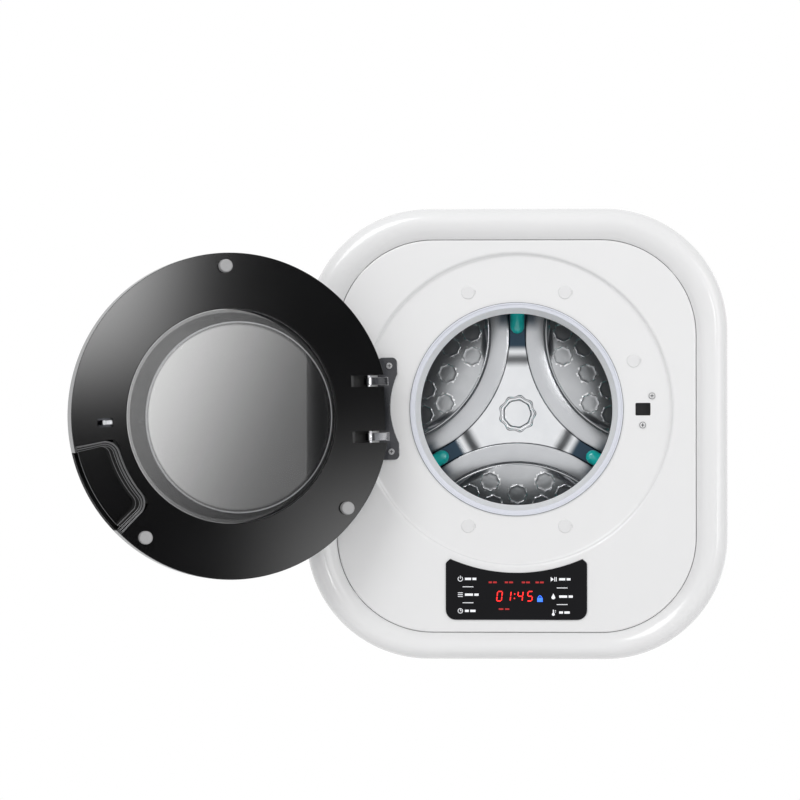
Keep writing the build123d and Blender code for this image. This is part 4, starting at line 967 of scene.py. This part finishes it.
@dataclass
class Drum:
    """The drum that shows through the porthole."""

    axis_z: float = 27.0
    back_d: float = 88.0
    face_d: float = 89.5
    edge: float = 193.5
    star_arc: float = 178.9
    offset: float = 217.5
    plateau: float = 4.6
    pocket: float = 3.2
    bump: float = 13.4
    bumps: tuple[Pair, ...] = ((92, 37), (92, -37), (109, 0), (123.5, 33), (123.5, -33), (109, 64.5), (109, -64.5))
    arms: tuple[float, ...] = (90.0, 210.0, 330.0)
    band: tuple[Pair, ...] = ((178.4, 1.0), (178.3, 3.1), (177.8, 4.0), (176.9, 4.6), (174.0, 5.0), (168.0, 5.2),
                              (162.0, 5.0), (157.0, 4.5), (153.6, 4.05), (152.2, 3.8), (151.4, 3.4), (150.9, 2.5),
                              (150.2, 1.9), (149.2, 1.9), (148.4, 2.4), (147.6, 3.0))

    @staticmethod
    def ramp(value: float, low: float, high: float) -> float:
        """0 below low, 1 above high and smooth between."""
        share = min(max((value - low) / (high - low), 0.0), 1.0)
        return share * share * (3 - 2 * share)

    def spot(self, x: float, z: float, height: float) -> Vector:
        """A point above the sheet's base, from its place about the axis."""
        return at(x, self.face_d + height, z + self.axis_z)

    def sag(self, x: float, z: float) -> float:
        """Height of a pocket's floor, which falls away from the axis."""
        out = max(math.hypot(x, z) - 66.0, 0.0)
        return self.pocket - 0.00147 * min(out, 29.0) ** 2 - 0.068 * max(out - 29.0, 0.0)

    def top(self, x: float, z: float) -> float:
        """Height of the plateau."""
        return self.plateau

    def lens(self, skin: Skin, angle: float) -> None:
        """One round pocket with the broad rib round it."""
        cx, cz = polar(self.offset, angle)
        count = 121
        rows = []
        for reach, height in self.band:
            wide = math.degrees(math.acos((self.offset ** 2 + reach ** 2 - self.edge ** 2) / (2 * self.offset * reach)))
            turns = [angle + 180 - wide + 2 * wide * step / (count - 1) for step in range(count)]
            rows.append([(*polar(reach, turn, cx, cz), height) for turn in turns])
        last = rows[-1]
        span = [math.degrees(math.atan2(z, x)) for x, z, height in (last[0], last[-1])]
        half = abs((span[0] - span[1] + 180) % 360 - 180) / 2
        rim = [polar(self.edge, angle + half - 2 * half * step / (count - 1)) for step in range(count)]
        for share in range(1, 25):
            row = []
            for (x, z, height), (rx, rz) in zip(last, rim):
                px, pz = x + (rx - x) * share / 24, z + (rz - z) * share / 24
                row.append((px, pz, self.sag(px, pz)))
            rows.append(row)
        base = self.back_d - self.face_d + 0.05
        skin.loft([[self.spot(*point) for point in row] + [self.spot(x, z, base) for x, z, height in reversed(row)]
                   for row in rows], capped=True)

    def star(self, skin: Skin) -> None:
        """The three-armed plateau, whose arms fold down before the paddles."""
        reaches = (0.4, 10, 20, 28, 34, 38, 42, 46, 50, 54, 58, *range(61, 84, 2), 84.5, 86, 87.5, 89, 90.5, 92, 98,
                   106, 116, 130, 150, 172, self.edge)
        ends = []
        for step in range(1080):
            turn = step / 3
            reach = self.edge
            for arm in self.arms:
                off = math.radians((turn - arm + 60 + 180) % 360 - 180)
                across = self.offset * math.sin(off)
                if math.cos(off) > 0 and abs(across) < self.star_arc:
                    reach = min(reach, self.offset * math.cos(off) - math.sqrt(self.star_arc ** 2 - across ** 2))
            ends.append((turn, reach))
        rows = []
        for reach in reaches:
            row = []
            for turn, end in ends:
                out = min(reach, end)
                fold = 2.4 * self.ramp(out, 63, 84) - 0.8 * self.ramp(out, 85, 93)
                row.append(self.spot(*polar(out, turn), self.plateau - fold))
            rows.append(row)
        base = self.back_d - self.face_d + 0.05
        rows.append([self.spot(*polar(end, turn), base) for turn, end in ends])
        rows.append([self.spot(*polar(0.4, turn), base) for turn, end in ends])
        skin.loft(rows, cyclic=True)

    def knob(self, skin: Skin, x: float, z: float, radius: float, lobes: int,
             floor: Callable[[float, float], float], dish: float) -> None:
        """A scalloped bump with a thin raised edge."""
        rows = []
        edge = [(1.04, -0.7), (1.0, 0.1), (0.985, 1.2), (0.96, 1.9), (0.93, 1.9), (0.9, 1.1), (0.87, 0.9)]
        if dish:
            edge += [(0.8, 0.85), (0.78, 1.5), (0.755, 1.7), (0.73, 1.4), (0.71, 0.8)]
        for share, rise in (*edge, (0.6, 0.9 - dish / 2), (0.3, 0.9 - dish), (0.02, 0.9 - dish)):
            row = []
            for step in range(96):
                turn = 360.0 * step / 96
                wave = 1 + 0.055 * min(share, 1.0) ** 3 * math.cos(math.radians(lobes * turn))
                px, pz = polar(radius * 0.97 * share * wave, turn, x, z)
                row.append(self.spot(px, pz, floor(px, pz) + rise))
            rows.append(row)
        skin.loft(rows, capped=True)

    def within(self, near: float, far: float) -> Callable[[Vector, Vector], bool]:
        """A choice of the faces whose distance to a pocket's middle lies between two radii."""
        hearts = [polar(self.offset, arm - 60, 0.0, self.axis_z) for arm in self.arms]

        def chosen(centre: Vector, normal: Vector) -> bool:
            """Whether a face lies in the band."""
            if normal.y > -0.3:
                return False
            return any(near < math.hypot(centre.x * 1000 - x, centre.z * 1000 - z) < far for x, z in hearts)

        return chosen

    def bump_places(self) -> list[Pair]:
        """X and Z of every bump about the axis."""
        return [polar(math.hypot(out, side), arm - 60 + math.degrees(math.atan2(side, out)))
                for arm in self.arms for out, side in self.bumps]

    def on_edge(self, centre: Vector, normal: Vector) -> bool:
        """Whether a face lies on the thin edge of a bump."""
        x, z = centre.x * 1000, centre.z * 1000 - self.axis_z
        return any(0.84 < math.hypot(x - right, z - up) / self.bump < 1.0 for right, up in self.bump_places())

    def build_back(self) -> None:
        """The pressed back plate with its star, ribs, pockets and bumps."""
        skin = Skin()
        plate = [(self.edge, self.back_d), (self.edge, self.face_d - 1.3), (self.edge - 0.5, self.face_d - 1.1),
                 (0.4, self.face_d - 1.1), (0.4, self.back_d)]
        skin.lathe(plate, self.axis_z, steps=180)
        self.star(skin)
        self.knob(skin, 0.0, 0.0, 25.0, 9, self.top, 0.7)
        for arm in self.arms:
            self.lens(skin, arm - 60)
        for x, z in self.bump_places():
            self.knob(skin, x, z, self.bump, 8, self.sag, 0.0)
        back = skin.piece("pressed_back", PRESSED_STEEL, Body.DRUM, ("drum_back",), sharp=40.0)
        # Painted shade: the ribs and pockets get the darker copies of the steel.
        repaint(back, SHADED_RIB_STEEL, self.within(151.2, 178.5))
        repaint(back, SHADED_POCKET_STEEL, self.within(0.0, 151.2))
        # Painted highlight on the bumps' raised edges.
        repaint(back, BUMP_EDGE_HIGHLIGHT, self.on_edge)

    def build_paddle(self, number: int, angle: float) -> None:
        """One paddle with its rounded foot."""
        skin = Skin()
        turn = math.radians(angle)
        right, up = math.cos(turn), math.sin(turn)

        def spot(out: float, across: float, depth: float) -> Vector:
            """A point of the paddle from its distance to the axis and its offset across."""
            return at(out * right - across * up, depth, self.axis_z + out * up + across * right)

        crest, seat = 151.9, 190.6
        rows = []
        for depth, share in ((95.9, 0.86), (96.6, 0.93), (98.5, 0.98), (103.0, 1.0), (160.0, 1.0), (214.0, 1.0),
                             (220.0, 0.97), (223.0, 0.9), (224.4, 0.8)):
            top = seat - (seat - crest) * share
            profile = eased(((seat, -30.0 * share, 0.0), (seat - 12 * share, -20.0 * share, 8.0),
                             (top, -13.0 * share, 8.0), (top, 13.0 * share, 8.0),
                             (seat - 12 * share, 20.0 * share, 8.0), (seat, 30.0 * share, 0.0)), steps=6)
            rows.append([spot(out, across, depth) for out, across in profile])
        skin.loft(rows, capped=True)
        rows = []
        for depth, trim in ((95.9, 0.6), (96.3, 0.0), (97.5, 0.0), (100.2, 1.0), (102.0, 2.5), (103.1, 4.4),
                            (103.6, 6.4), (103.75, 8.2)):
            reach = 9.4 - trim
            bend = [(117.5 + reach * math.cos(math.radians(a)), reach * math.sin(math.radians(a)))
                    for a in range(90, 271, 12)]
            foot = [(158.0, -reach), (158.0, reach), *bend]
            rows.append([spot(out, across, depth) for out, across in foot])
        skin.loft(rows, capped=True)
        skin.piece(f"paddle_{number}", TEAL, Body.DRUM, (f"lifter_{number}",), sharp=50.0)

    def build(self) -> None:
        """Build the drum's pieces."""
        self.build_back()
        for number, angle in enumerate(self.arms, 1):
            self.build_paddle(number, angle)


@dataclass
class Neck:
    """The pale gasket between the porthole and the tub."""

    door_z: float = 32.0
    porthole: float = 136.0
    lip: float = 125.5
    seat_d: float = 264.0
    front_d: float = 236.0

    def build(self) -> None:
        """The ring seen round the porthole, its neck and its lip."""
        back = self.seat_d - 3
        profile = eased((
            (self.porthole + 3.5, self.seat_d, 0.6), (self.porthole + 3.4, self.seat_d + 1.6, 0.9),
            (self.porthole + 1.2, self.seat_d + 2.0, 0.5), (self.porthole + 0.5, self.seat_d + 0.6, 0.3),
            (self.porthole - 0.4, self.seat_d + 0.7, 0.3),
            (self.porthole - 3.9, self.seat_d + 0.3, 0.8), (self.lip + 3.9, self.seat_d - 9.5, 6.0),
            (self.lip, self.seat_d - 20.5, 0.8), (self.lip, self.front_d + 5.0, 0.8),
            (self.lip + 1.0, self.front_d + 2.2, 0.8), (self.lip + 4.0, self.front_d + 4.5, 1.0),
            (self.porthole + 1.0, back - 5, 1.0), (143.3, back - 5, 0.5), (146.3, back - 8, 0.5),
            (146.3, self.front_d + 6, 0.4), (149.3, self.front_d + 6, 0.4), (149.3, back - 6, 0.5),
            (146.3, back - 2, 0.5), (139.5, back - 2, 0.0), (139.5, back, 0.0), (self.porthole, back, 0.0),
            (self.porthole, self.seat_d, 0.0)), steps=4)
        gasket = Skin().lathe(profile, self.door_z, steps=200).piece("pale_gasket", GASKET, Body.CABINET, ("gasket",))
        # Painted light: the neck is made paler than the ring to offset its shade.
        repaint(gasket, GASKET_NECK_LIGHTENED, lambda centre, normal: centre.y > -0.001 * (self.seat_d - 0.5))
        rim = (self.porthole + 2.6) * 0.001
        front = -0.001 * self.seat_d
        # Painted shadow on the gasket's outer edge.
        repaint(gasket, GASKET_EDGE_SHADOW, lambda centre, normal: centre.y < front and (
            math.hypot(centre.x, centre.z - self.door_z * 0.001) > rim))


@dataclass
class Door:
    """The round door, laid out shut and then swung open."""

    swing: Matrix
    door_z: float = 32.0
    radius: float = 208.0
    cover_d: float = 274.0
    edge_d: float = 316.0
    crown_d: float = 325.0
    wall: float = 2.5
    sheet: float = 3.0
    window: float = 152.0
    bowl: float = 135.0
    tip: float = 120.0
    bowl_depth: float = 40.0
    tip_drop: float = 2.0
    hook_x: float = 164.7
    hinge_x: float = -190.0
    hinge_d: float = 304.0
    lean: float = -1.5
    pads: tuple[float, ...] = (90.0, 221.0, 309.5)
    grip: tuple[float, float, float] = (160.0, -41.0, -10.0)

    def slots(self) -> list[Skin]:
        """Room for the hinge arms, leaning with the hinge."""
        made = []
        turn = Matrix.Rotation(math.radians(self.lean), 4, "Y")
        hub = at(self.hinge_x, self.hinge_d, self.door_z)
        left = -self.radius - 9
        for x, near, far, low, high in ((-158, self.cover_d - 5, self.hinge_d + 7, 28.5, 43.5),
                                        (self.hinge_x - 2, self.cover_d - 5, self.crown_d, 28.5, 43.5),
                                        (self.hinge_x - 12, self.cover_d - 5, self.crown_d, -29.5, 29.5)):
            for side in (1, -1) if low > 0 else (1,):
                skin = Skin()
                z_low, z_high = sorted((side * low, side * high))
                skin.loft([[at(px, pd, self.door_z + z) for px, pd in ((left, near), (x, near), (x, far), (left, far))]
                           for z in (z_low, z_high)], capped=True)
                skin.points = [hub + turn @ (point - hub) for point in skin.points]
                made.append(skin)
        return made

    def recess(self, grow: float, near: float, far: float) -> Skin:
        """The finger recess as a shape to cut, larger all round by grow."""
        inner, start, end = self.grip
        spread = grow / (2 * math.pi * self.radius / 360)
        start, end = start - spread, end + spread
        inner -= grow
        corner = 12 + grow
        inset = math.degrees(corner / inner)
        outline = [polar(self.radius + 14, start + (end - start) * step / 12) for step in range(13)]
        turn_in = [polar(inner, end - inset - (end - start - 2 * inset) * step / 14) for step in range(15)]
        high = eased([(*polar(self.radius, end), 0.0), (*polar(inner, end), corner), (*turn_in[0], 0.0)], 8, False)
        low = eased([(*turn_in[-1], 0.0), (*polar(inner, start), corner), (*polar(self.radius, start), 0.0)], 8, False)
        outline += high[:-1] + turn_in + low[1:]
        return Skin().prism([(x, z + self.door_z) for x, z in outline], near, far)

    def build_ring(self) -> None:
        """The silver side wall and shoulder that hold the pane."""
        top = self.crown_d - 4
        profile = through(((self.radius, self.edge_d - 18), (205.2, self.edge_d - 7.5), (198, self.edge_d - 2),
                           (185, self.edge_d + 2.5), (self.window, top)), 7)
        inner = through(((self.window, top - 4), (184.4, self.edge_d - 0.4), (196.8, self.edge_d - 4.4),
                         (203.2, self.edge_d - 9.2), (self.radius - self.wall, self.edge_d - 18)), 6)
        foot = [(self.radius - self.wall, self.cover_d + 1.0), (self.radius - 0.6, self.cover_d + 1.0),
                (self.radius, self.cover_d + 1.6)]
        ring = Skin().lathe(profile + inner + foot, self.door_z, steps=220).piece(
            "silver_ring", SILVER, Body.DOOR, ("door_ring",), self.swing)
        carve(ring, [*self.slots(), self.recess(0.0, self.cover_d - 3, self.cover_d + 26)], self.swing)
        back = self.swing.inverted()

        def inner_side(centre: Vector, normal: Vector) -> bool:
            """Whether a face looks into the door."""
            spot, way = back @ centre, back.to_3x3() @ normal
            reach = Vector((spot.x, 0.0, spot.z - self.door_z * 0.001)).normalized()
            return way.y > 0.15 or way.dot(reach) < -0.3

        repaint(ring, BLACK_INNER, inner_side)

    def build_cover(self) -> None:
        """The black ring that faces the cabinet when the door is shut."""
        hole, rim = self.bowl + 1.8, self.radius - self.wall - 0.3
        back = self.cover_d + self.sheet
        lip = self.radius - 0.1
        profile = eased(((hole, self.cover_d, 1.2), (lip, self.cover_d, 0.8), (lip, self.cover_d + 0.95, 0.0),
                         (rim, self.cover_d + 0.95, 0.0), (rim, back + 6, 0.5),
                         (rim - self.sheet, back + 6, 0.5), (rim - self.sheet, back, 0.0), (hole, back, 0.0)), 6)
        cover = Skin().lathe(profile, self.door_z, steps=220).piece("black_cover", BLACK_GLOSS, Body.DOOR,
                                                                   ("door_cover",), self.swing)
        slot = box(self.hook_x, self.door_z, 9.8, 5.5, 2.0)
        tools = [Skin().prism(slot, self.cover_d - 3, back + 3), self.recess(8.0, self.cover_d - 3, self.cover_d + 30)]
        carve(cover, [*self.slots(), *tools], self.swing)

    def build_glass(self) -> None:
        """The clear bowl and the smoked outer pane."""
        tip = self.cover_d - self.bowl_depth
        base = self.cover_d + self.sheet
        slope = (self.bowl - self.tip) / self.bowl_depth
        profile = eased(((0.0, tip, 0.0), (self.tip, tip, 7.0), (self.bowl + slope * 3, base, 1.5),
                         (self.bowl + 12, base, 0.8), (self.bowl + 12, base + 4, 0.8), (self.bowl - 3, base + 4, 2.0),
                         (self.tip - 3.6, tip + 4, 4.0), (0.0, tip + 4, 0.0)), 6, False)
        skin = Skin().lathe(profile, self.door_z, steps=200, closed=False, drop=lambda depth: self.tip_drop * max(
            0.0, (self.cover_d - depth) / self.bowl_depth))
        glass = skin.piece("glass_bowl", BOWL_GLASS, Body.DOOR, ("door_bowl",), self.swing, sharp=60.0)
        shut = self.swing.inverted().to_3x3()
        repaint(glass, BOWL_WALL, lambda centre, normal: abs((shut @ normal).y) < 0.5)
        # Painted highlight on the bowl's rounded front edge.
        repaint(glass, BOWL_EDGE_HIGHLIGHT, lambda centre, normal: 0.5 < (shut @ normal).y < 0.82)
        reach = self.window - 0.3
        front = [(reach * step / 12, self.crown_d - 4.0 * (step / 12) ** 2) for step in range(13)]
        back = [(radius, depth - 3) for radius, depth in reversed(front)]
        # The smoked pane's clearness is graded across the door as painted light.
        Skin().lathe(front + back, self.door_z, closed=False).piece(
            "smoked_window", PANE_GLASS, Body.DOOR, ("door_window",), self.swing, sharp=60.0)

    def build_pads(self) -> None:
        """Three rubber pads round the cover."""
        skin = Skin()
        reach = self.cover_d - 9.7
        for angle in self.pads:
            x, z = polar(191.0, angle, 0.0, self.door_z)
            profile = eased(((0.1, reach, 0.0), (8.4, reach, 2.0), (8.4, self.cover_d + 0.9, 0.0),
                             (0.1, self.cover_d + 0.9, 0.0)), 5)
            skin.lathe(profile, z, x, 48)
        skin.piece("grey_pads", PAD_RUBBER, Body.DOOR, ("door_pads",), self.swing)

    def build(self, nodes: dict[str, bpy.types.Object]) -> None:
        """Build the door's pieces."""
        self.build_ring()
        self.build_cover()
        self.build_glass()
        self.build_pads()
        # The grip's bevels carry a painted highlight.
        soften(nodes["door_grip"], "finger_grip", BLACK_GLOSS, Body.DOOR, 0.7, BLACK_EDGE_HIGHLIGHT)
        soften(nodes["hinge_block"], "door_block", BLACK_INNER, Body.DOOR, 0.6)
        soften(nodes["door_hook"], "latch_hook", GROUND_STEEL, Body.HOOK, 0.4)


def hang(name: str, data: bpy.types.ID, spot: Vector, aim: Vector) -> bpy.types.Object:
    """Link an object at a spot, facing a point with its -Z side."""
    made = bpy.data.objects.new(name, data)
    made.location = spot
    made.rotation_mode = "QUATERNION"
    made.rotation_quaternion = (aim - spot).to_track_quat("-Z", "Y")
    bpy.context.collection.objects.link(made)
    return made


@dataclass
class Studio:
    """Pale floor, soft lights, white surround and the camera."""

    eye: tuple[float, float, float] = (34.0, 4770.0, 5.0)
    target: tuple[float, float, float] = (-151.7, 270.0, 44.0)
    lens: float = 155.4
    floor_z: float = -0.78
    softness: float = 0.62
    screen_spot: Colour = (1.82, -3.73, 0.08)
    screen_aim: Colour = (-0.36, -0.37, 0.02)
    screen_half: float = 0.62
    screen_glow: float = 13.0
    screen_heart: Pair = (-0.059, 0.021)

    def white_to_viewer(self, graph: Graph, plain: Wire, surface: bool) -> Wire:
        """Show plain white to the eye, to gloss and to glass, and the plain shader to all else."""
        path = graph.make("ShaderNodeLightPath", out="Is Camera Ray")
        node = path.socket.node
        seen = path.maths("MAXIMUM", Wire(graph, node.outputs["Is Glossy Ray"]))
        seen = seen.maths("MAXIMUM", Wire(graph, node.outputs["Is Transmission Ray"]))
        if surface:
            seen = seen * 0.86
        kind = "ShaderNodeEmission" if surface else "ShaderNodeBackground"
        white = graph.make(kind, {}, {"Color": (1.0, 1.0, 1.0, 1.0), "Strength": 1.0})
        return graph.make("ShaderNodeMixShader", {}, {0: seen, 1: plain, 2: white})

    def build_floor(self) -> None:
        """A pale floor below the machine, which keeps its shadow."""
        skin = Skin()
        skin.loft([[Vector((x, y, z)) for x, y in ((-3.0, -4.0), (3.0, -4.0), (3.0, 2.0), (-3.0, 2.0))]
                   for z in (self.floor_z - 0.02, self.floor_z)], capped=True)
        mesh = skin.mesh("pale_floor")
        floor = bpy.data.objects.new("pale_floor", mesh)
        bpy.context.collection.objects.link(floor)
        graph = Graph(bpy.data.materials.new("pale_floor"))
        speck = graph.noise(60.0)
        plain = graph.make("ShaderNodeBsdfPrincipled", {}, {
            "Base Color": graph.tones((0.86, 0.86, 0.86), (0.83, 0.83, 0.83), speck), "Roughness": 0.7})
        graph.make("ShaderNodeOutputMaterial", {}, {"Surface": self.white_to_viewer(graph, plain, True)})
        mesh.materials.append(graph.owner)

    def build_world(self) -> None:
        """A soft even surround."""
        world = bpy.data.worlds.new("surround")
        bpy.context.scene.world = world
        graph = Graph(world)
        plain = graph.make("ShaderNodeBackground", {}, {"Color": (1.0, 1.0, 1.0, 1.0), "Strength": self.softness})
        graph.make("ShaderNodeOutputWorld", {}, {"Surface": self.white_to_viewer(graph, plain, False)})

    def build_screen(self) -> None:
        """A dark screen with a soft streak of light that only gloss sees; the door's black cover mirrors it."""
        mesh = bpy.data.meshes.new("dark_screen")
        half = self.screen_half
        mesh.from_pydata([(-half, -half, 0.0), (half, -half, 0.0), (half, half, 0.0), (-half, half, 0.0)], [],
                         [(0, 1, 2, 3)])
        graph = Graph(bpy.data.materials.new("dark_screen"))
        x, y = self.screen_heart
        ahead = graph.along((-0.707, 0.707, 0.0)) - 0.707 * (y - x)
        aside = graph.along((0.707, 0.707, 0.0)) - 0.707 * (y + x)
        lean = aside.maths("ABSOLUTE", 0.0) / (ahead.maths("ABSOLUTE", 0.0) + 0.013)
        side = graph.fade(ahead, 0.02, -0.02) * 0.76 + 0.24
        streak = ahead * ahead * 5.3 * side * graph.fade(lean, 0.0, 1.05)
        glow = graph.tones((0.0, 0.0, 0.0), (1.0, 1.0, 1.0), streak)
        mesh.materials.append(graph.finish({"Base Color": (0.0, 0.0, 0.0, 1.0), "Specular IOR Level": 0.0,
                                            "Emission Color": glow, "Emission Strength": self.screen_glow}))
        screen = hang("dark_screen", mesh, Vector(self.screen_spot), Vector(self.screen_aim))
        screen.visible_camera = screen.visible_diffuse = screen.visible_shadow = False
        screen.visible_transmission = screen.visible_volume_scatter = False

    @staticmethod
    def softbox(name: str, spot: Colour, aim: Colour, width: float, height: float, power: float) -> None:
        """A rectangular soft light.

        Args:
            name: The lamp's name.
            spot: Where it hangs, in metres.
            aim: The point it faces.
            width: Its width in metres.
            height: Its height in metres.
            power: Its power in watts.
        """
        lamp = bpy.data.lights.new(name, "AREA")
        lamp.shape = "RECTANGLE"
        lamp.size, lamp.size_y = width, height
        lamp.energy = power
        hang(name, lamp, Vector(spot), Vector(aim))

    def build_camera(self) -> None:
        """The long lens of the photograph."""
        data = bpy.data.cameras.new("eye")
        data.sensor_width = 36.0
        data.lens = self.lens
        data.clip_start, data.clip_end = 0.1, 50.0
        bpy.context.scene.camera = hang("eye", data, at(*self.eye), at(*self.target))

    def build(self) -> None:
        """Build the floor, the surround, the lamps and the camera."""
        self.build_floor()
        self.build_world()
        self.build_camera()
        self.build_screen()
        self.softbox("key", (-1.3, -2.6, 2.1), (0.0, -0.25, 0.0), 1.6, 1.6, 34.0)
        self.softbox("fill", (2.2, -2.2, 0.6), (0.0, -0.2, 0.0), 1.4, 1.8, 12.0)
        bpy.context.scene.view_settings.view_transform = "Standard"


OPEN_ANGLE = 161.0
CARRIED: dict[str, Finish] = {
    "tub_screws": BRIGHT_STEEL, "pulley_bolt": BRIGHT_STEEL,
    "hinge_pins": BRIGHT_STEEL, "hook_pin": BRIGHT_STEEL, "hook_bracket": DARK_METAL,
    "heater": GROUND_STEEL, "gasket_clamp": BRIGHT_STEEL, "motor_bracket": ZINC, "control_housing": DARK_PLASTIC,
    "control_board": BOARD, "door_lock": DARK_PLASTIC, "tub_front": GREY_TUB, "tub_rear": GREY_TUB,
    "tub_mounts": BLACK_RUBBER, "bearing_outer_rings": GROUND_STEEL, "bearing_inner_rings": GROUND_STEEL,
    "bearing_balls": BRIGHT_STEEL, "shaft_seal": BLACK_RUBBER, "drive_belt": BLACK_RUBBER, "motor_housing": MOTOR_COAT,
    "pump_housing": DARK_PLASTIC, "sump_hose": BLACK_RUBBER, "inlet_valve": PALE_PLASTIC, "fill_hose": BLACK_RUBBER,
    "cord_gland": DARK_PLASTIC, "drum_shell": SHADED_DRUM_WALL, "drum_spider": CAST_METAL, "drum_shaft": GROUND_STEEL,
    "drum_pulley": CAST_METAL, "motor_shaft": GROUND_STEEL, "motor_pulley": CAST_METAL, "pump_impeller": PALE_PLASTIC,
    "window_carrier": BLACK_INNER,
}


def dress_carried(nodes: dict[str, bpy.types.Object]) -> None:
    """Give each CAD node that stays its finish."""
    for name, finish in CARRIED.items():
        nodes[name].data.materials.clear()
        nodes[name].data.materials.append(finish.build())
        LOG.info("%s carried over", name)


def swing_of(joints: Sequence[dict], degrees: float) -> Matrix:
    """The turn of the door about its hinge, from shut to open."""
    joint = next(joint for joint in joints if joint["name"] == "door_hinge")
    hub = Vector(joint["pos_m"])
    return Matrix.Translation(hub) @ Matrix.Rotation(math.radians(-degrees), 4, Vector(joint["axis"])) \
        @ Matrix.Translation(-hub)


def main() -> None:
    """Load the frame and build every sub-assembly."""
    logging.basicConfig(level=logging.INFO, format="%(message)s")
    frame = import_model()
    nodes = frame["nodes"]
    dress_carried(nodes)
    Cabinet().build(nodes)
    Controls().build()
    Neck().build()
    Drum().build()
    Door(swing_of(frame["joints"], OPEN_ANGLE)).build(nodes)
    Studio().build()


if __name__ == "__main__":
    main()
